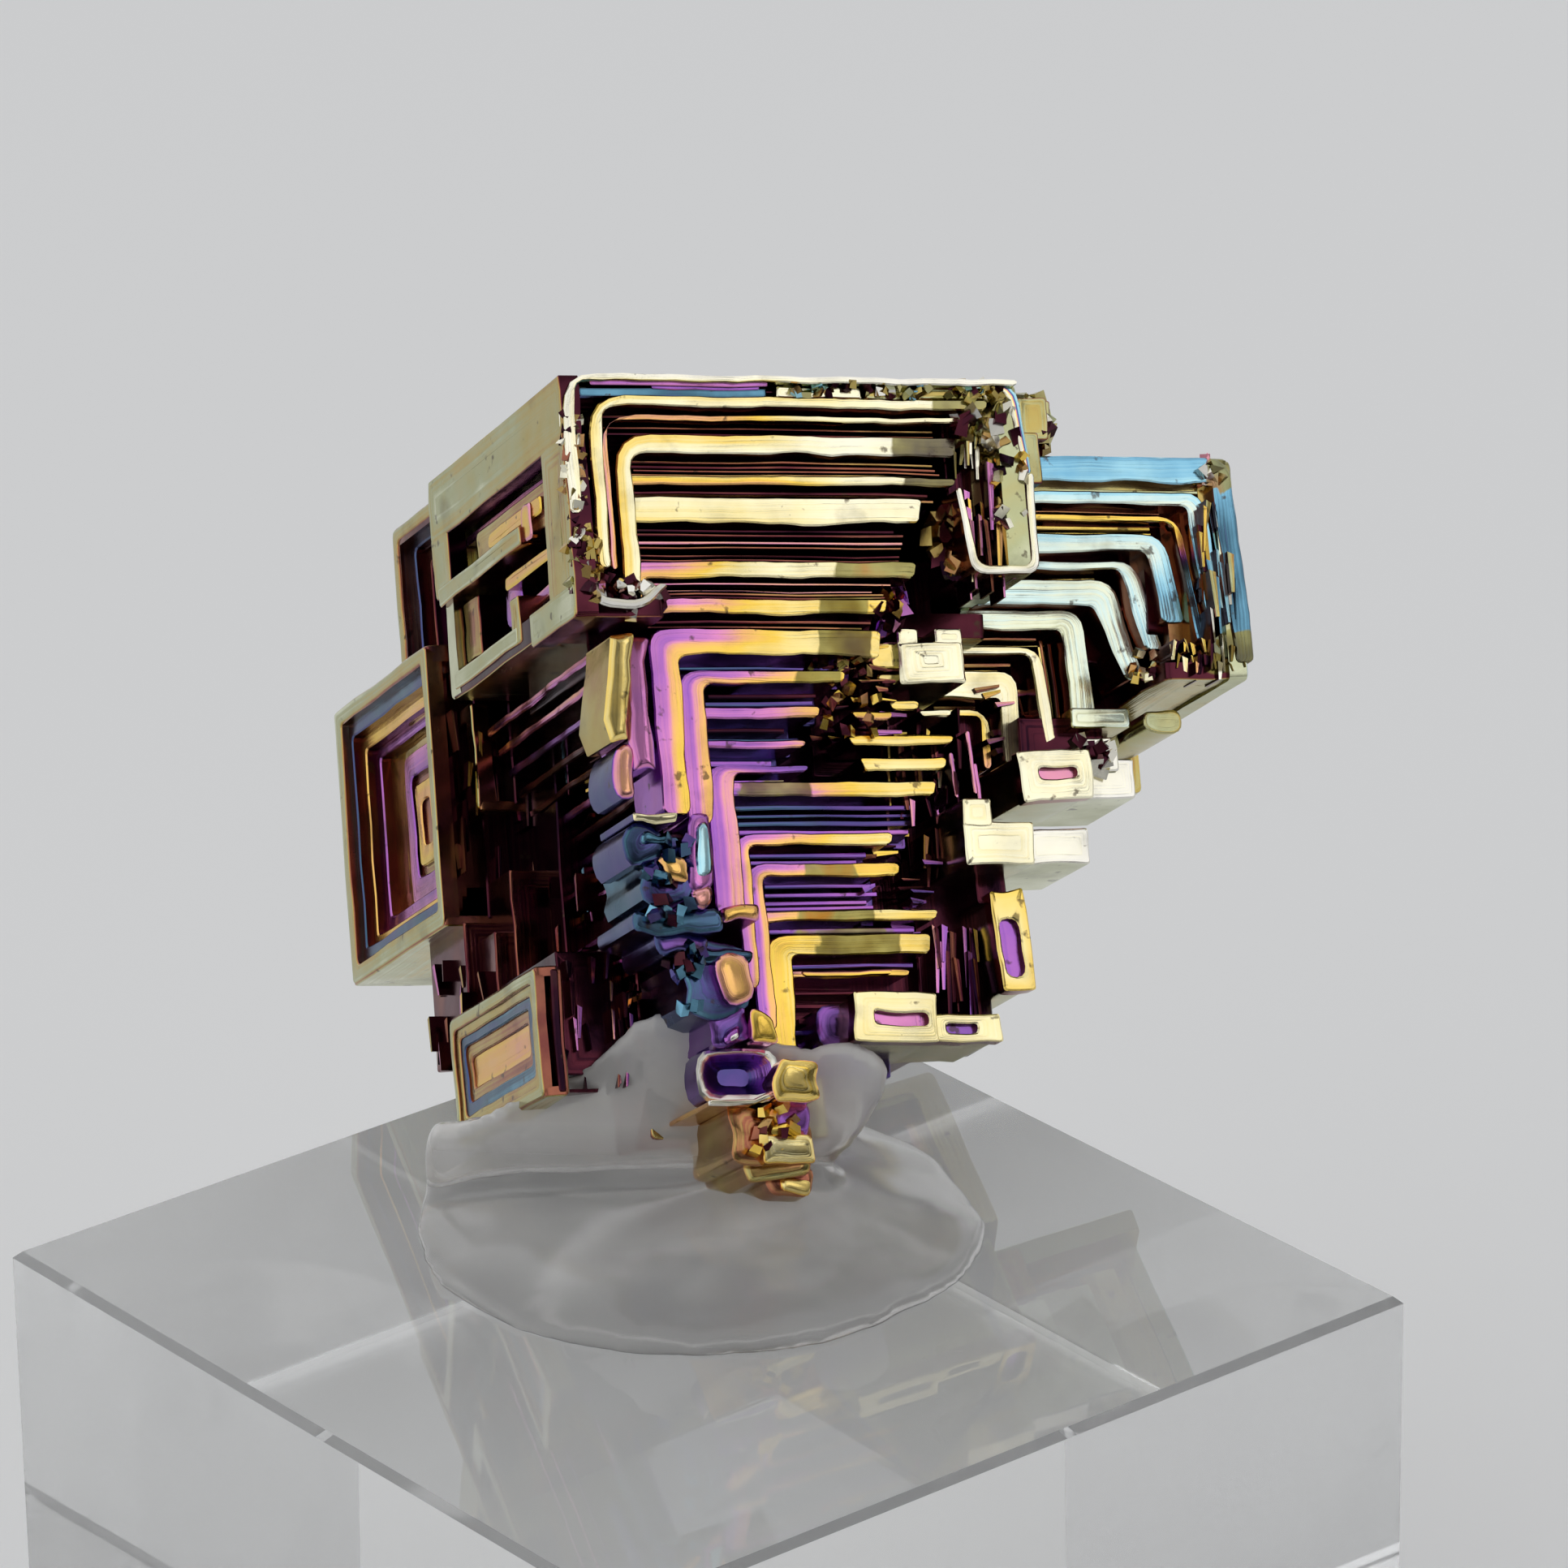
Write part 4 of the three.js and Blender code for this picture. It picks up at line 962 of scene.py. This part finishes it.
def bismuth():
    n = Nodes("bismuth")
    film = n.add("ShaderNodeAttribute", attribute_name="film").outputs["Fac"]
    across = n.add("ShaderNodeCombineXYZ")
    n.link(n.math("MULTIPLY", n.add("ShaderNodeAttribute", attribute_name="line").outputs["Fac"], 9.0), across.inputs[0])
    along = n.add("ShaderNodeVectorMath", operation="SCALE")
    n.link(n.place(), along.inputs[0])
    along.inputs["Scale"].default_value = 70
    both = n.add("ShaderNodeVectorMath", operation="ADD")
    n.link(across.outputs[0], both.inputs[0])
    n.link(along.outputs[0], both.inputs[1])
    growth = n.noise(1.0, 3, both.outputs[0])
    broad = n.remap(n.noise(170, 3), -0.055, 0.055)
    fine = n.remap(n.noise(900, 4), -0.02, 0.02)
    lines = n.remap(growth, -0.05, 0.05)
    place = n.math("ADD", n.math("ADD", n.math("ADD", film, broad), fine), lines)
    ramp = n.add("ShaderNodeValToRGB")
    fill_ramp(ramp.color_ramp.elements, RAMP)
    n.link(place, ramp.inputs["Fac"])
    speck = n.remap(n.noise(1500, 3), 0.0, 0.75, 0.66, 0.72)
    smear = n.remap(n.noise(330, 5), 0.0, 0.45, 0.60, 0.75)
    dirt = n.math("MAXIMUM", speck, smear)
    dull = n.add("ShaderNodeMix", data_type="RGBA")
    dull.inputs[7].default_value = (0.07, 0.045, 0.03, 1)
    n.link(dirt, dull.inputs[0])
    n.link(ramp.outputs["Color"], dull.inputs[6])
    # painted shadow: inside the painted shadow patches the colour turns dark, olive and brown, with ragged edges
    shadow_mask = n.add("ShaderNodeAttribute", attribute_name="painted_shadow").outputs["Fac"]
    ragged_shadow = n.math("ADD", shadow_mask, n.remap(n.noise(500, 4), -0.35, 0.35, 0.3, 0.7))
    shadowed = n.add("ShaderNodeMix", data_type="RGBA")
    n.link(n.remap(ragged_shadow, 0.0, 0.88, 0.45, 0.6), shadowed.inputs[0])
    n.link(dull.outputs[2], shadowed.inputs[6])
    shadow_tint = n.add("ShaderNodeValToRGB")
    fill_ramp(shadow_tint.color_ramp.elements, SHADOW_TINTS)
    n.link(n.noise(380, 3), shadow_tint.inputs["Fac"])
    n.link(shadow_tint.outputs["Color"], shadowed.inputs[7])
    n.link(shadowed.outputs[2], n.shader.inputs["Base Color"])
    n.shader.inputs["Metallic"].default_value = 1.0
    n.link(n.remap(n.noise(420, 5), 0.12, 0.30, 0.3, 0.75), n.shader.inputs["Roughness"])
    waves = n.bump(n.noise(260, 2), 0.45, 0.0002)
    steps = n.bump(growth, 0.35, 0.00004, waves)
    grain = n.bump(n.noise(2600, 3), 0.12, 0.00004, steps)
    n.link(grain, n.shader.inputs["Normal"])
    return n.material


def acrylic():
    n = Nodes("acrylic")
    n.shader.inputs["Base Color"].default_value = (0.985, 0.99, 0.99, 1)
    n.shader.inputs["Transmission Weight"].default_value = 0.84
    n.shader.inputs["IOR"].default_value = 1.49
    n.link(n.remap(n.noise(70, 4), 0.0, 0.06, 0.45, 0.8), n.shader.inputs["Roughness"])
    n.link(n.bump(n.noise(45, 2), 0.05, 0.0002), n.shader.inputs["Normal"])
    return n.material


def glue_look():
    n = Nodes("clear_glue")
    n.link(n.add_ramp(n.noise(160, 3), (0.93, 0.91, 0.89), (0.99, 0.98, 0.97)), n.shader.inputs["Base Color"])
    split = n.add("ShaderNodeSeparateXYZ")
    n.link(n.place(), split.inputs[0])
    cloud = n.remap(split.outputs["Z"], 0.93, 0.55, BLOCK_TOP + 0.0016, BLOCK_TOP + 0.0042)
    n.link(cloud, n.shader.inputs["Transmission Weight"])
    n.shader.inputs["IOR"].default_value = 1.40
    n.link(n.remap(n.noise(200, 3), 0.06, 0.22), n.shader.inputs["Roughness"])
    n.link(n.bump(n.noise(130, 3), 0.2, 0.0004), n.shader.inputs["Normal"])
    return n.material


def add_ramp(self, source, low, high):
    node = self.add("ShaderNodeValToRGB")
    node.color_ramp.elements[0].color = (*low, 1)
    node.color_ramp.elements[1].color = (*high, 1)
    self.link(source, node.inputs["Fac"])
    return node.outputs["Color"]


Nodes.add_ramp = add_ramp


# ---- glue ----
def ellipsoid(mesh, centre, radii, turn=(0, 0, 0), rings=16, segments=28):
    import bmesh
    shape = bmesh.new()
    bmesh.ops.create_uvsphere(shape, u_segments=segments, v_segments=rings, radius=1)
    matrix = Matrix.Translation(centre) @ Euler([math.radians(a) for a in turn]).to_matrix().to_4x4()
    matrix = matrix @ Matrix.Diagonal((*radii, 1))
    bmesh.ops.transform(shape, matrix=matrix, verts=shape.verts)
    shape.from_mesh(mesh)
    shape.to_mesh(mesh)
    shape.free()


def fin(mesh, outline, origin, thick):
    """A sheet of glue standing on the block: its outline in (along, up), bent back at its far end."""
    import bmesh
    shape = bmesh.new()
    rows = []
    for side in (-1, 1):
        row = []
        for u, h in outline:
            away = side * thick * (1 - 0.055 * max(h, 0)) + 0.035 * max(-u - 4, 0) ** 1.5
            x = origin[0] + ACROSS[0] * u + AWAY[0] * away
            y = origin[1] + ACROSS[1] * u + AWAY[1] * away
            row.append(shape.verts.new((x, y, origin[2] + h)))
        rows.append(row)
    shape.faces.new(rows[0][::-1])
    shape.faces.new(rows[1])
    for k in range(len(outline)):
        j = (k + 1) % len(outline)
        shape.faces.new((rows[0][k], rows[0][j], rows[1][j], rows[1][k]))
    bmesh.ops.triangulate(shape, faces=shape.faces[:])
    bmesh.ops.recalc_face_normals(shape, faces=shape.faces[:])
    shape.from_mesh(mesh)
    shape.to_mesh(mesh)
    shape.free()


ACROSS = (0.774, -0.633)
AWAY = (0.633, 0.774)
FIN = ((-13.6, -0.6), (-13.8, 2.0), (-13.4, 3.0), (-11.6, 3.4), (-9.6, 4.4), (-7.9, 5.2), (-6.4, 6.8), (-5.2, 7.9),
       (-4.0, 8.2), (-2.5, 7.8), (0.0, 7.0), (1.2, 6.6), (2.4, 6.9), (3.6, 6.6), (4.3, 5.8), (4.0, 4.4), (3.0, 2.8),
       (1.8, 1.6), (0.9, 0.6), (0.6, -0.6))


def glue():
    mesh = bpy.data.meshes.new("glue_blob")
    base = BLOCK_TOP * 1000
    ellipsoid(mesh, (2.4, 3.2, base), (11.0, 11.2, 1.7), (0, 0, 0))
    ellipsoid(mesh, (2.8, 0.4, base), (8.6, 7.4, 1.9), (0, 0, 20))
    fin(mesh, FIN, (5.3, 1.8, base + 0.6), 0.75)
    mesh.transform(Matrix.Scale(MM, 4))
    blob = bpy.data.objects.new("glue_blob", mesh)
    bpy.context.collection.objects.link(blob)
    remesh = blob.modifiers.new("remesh", "REMESH")
    remesh.mode = "VOXEL"
    remesh.voxel_size = 0.00034
    soften = blob.modifiers.new("soften", "SMOOTH")
    soften.iterations = 8
    soften.factor = 0.5
    depsgraph = bpy.context.evaluated_depsgraph_get()
    solid = bpy.data.meshes.new_from_object(blob.evaluated_get(depsgraph))
    blob.modifiers.clear()
    blob.data = solid
    low = BLOCK_TOP - 0.00005
    for vertex in solid.vertices:
        place = vertex.co + noise.noise_vector(vertex.co * 230) * 0.0003
        vertex.co = (place.x, place.y, max(place.z, low))
    solid.shade_smooth()
    return blob


# ---- the room ----
def room():
    floor_mesh = bpy.data.meshes.new("floor")
    side = 3.0
    corners = [(-side, -side, FLOOR_AT), (side, -side, FLOOR_AT), (side, side, FLOOR_AT), (-side, side, FLOOR_AT)]
    floor_mesh.from_pydata(corners, [], [(0, 1, 2, 3)])
    floor = bpy.data.objects.new("floor", floor_mesh)
    bpy.context.collection.objects.link(floor)
    n = Nodes("floor")
    # the floor is painted whiter under the block: painted light against the shade that the crystal and the block cast
    # there
    split = n.add("ShaderNodeSeparateXYZ")
    n.link(n.place(), split.inputs[0])
    far = n.math("MAXIMUM", n.math("ABSOLUTE", split.outputs[0], 0.0), n.math("ABSOLUTE", split.outputs[1], 0.0))
    painted_light_patch = n.add("ShaderNodeMix", data_type="RGBA")
    painted_light_patch.inputs[6].default_value = (0.97, 0.97, 0.97, 1)
    n.link(n.remap(far, 0.0, 1.0, BLOCK_HIGH[0] - 0.0008, BLOCK_HIGH[0] - 0.0004), painted_light_patch.inputs[0])
    n.link(n.add_ramp(n.noise(3, 2), (0.78, 0.78, 0.785), (0.82, 0.82, 0.82)), painted_light_patch.inputs[7])
    n.link(painted_light_patch.outputs[2], n.shader.inputs["Base Color"])
    n.shader.inputs["Roughness"].default_value = 0.8
    floor_mesh.materials.append(n.material)

    world = bpy.data.worlds.new("room")
    world.use_nodes = True
    tree = world.node_tree
    tree.nodes["Background"].inputs["Color"].default_value = (0.98, 0.99, 1.0, 1)
    direction = tree.nodes.new("ShaderNodeTexCoord").outputs["Generated"]
    facing = tree.nodes.new("ShaderNodeVectorMath")
    facing.operation = "DOT_PRODUCT"
    facing.inputs[1].default_value = DARK_SIDE
    fall = tree.nodes.new("ShaderNodeValToRGB")
    fill_ramp(fall.color_ramp.elements, [(at, (value * ROOM_POWER,) * 3) for at, value in ROOM_LIGHT])
    tree.links.new(direction, facing.inputs[0])
    tree.links.new(facing.outputs["Value"], fall.inputs["Fac"])
    tree.links.new(fall.outputs["Color"], tree.nodes["Background"].inputs["Strength"])
    bpy.context.scene.world = world

    for name, toward, distance, size, power in LIGHTS:
        data = bpy.data.lights.new(name, "AREA")
        data.shape = "RECTANGLE"
        data.size, data.size_y = size
        data.energy = power
        lamp = bpy.data.objects.new(name, data)
        direction = Vector(toward).normalized()
        lamp.location = AIM + direction * distance
        lamp.rotation_euler = direction.to_track_quat("Z", "Y").to_euler()
        bpy.context.collection.objects.link(lamp)


AIM = Vector((0.012, 0.012, 0.042))
FLOOR_AT = -0.0003
# the room is even but for a dark side: brightness against the cosine of the angle from its middle
DARK_SIDE = (0.067, -0.954, 0.292)
ROOM_LIGHT = ((0.0, 1.0), (0.35, 0.95), (0.62, 0.45), (0.80, 0.12), (1.0, 0.06))
ROOM_POWER = 0.95
# name, direction from the crystal, distance, width and height, power
LIGHTS = (
    ("key", (0.194, -0.756, 0.625), 0.55, (0.27, 0.23), 0.165),
    ("halo", (0.194, -0.756, 0.625), 0.57, (0.62, 0.50), 0.25),
)

camera()
room()
cluster = crystal()
cluster.data.materials.append(bismuth())
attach(cluster, "root")
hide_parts("bismuth_crystal")

blob = glue()
blob.data.materials.clear()
blob.data.materials.append(glue_look())
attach(blob, "root")
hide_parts("clear_glue")

stand = bpy.data.objects["acrylic_block"]
for slot in stand.material_slots:
    slot.material = acrylic()

bpy.context.scene.view_settings.view_transform = "Standard"
bpy.context.scene.cycles.use_denoising = True
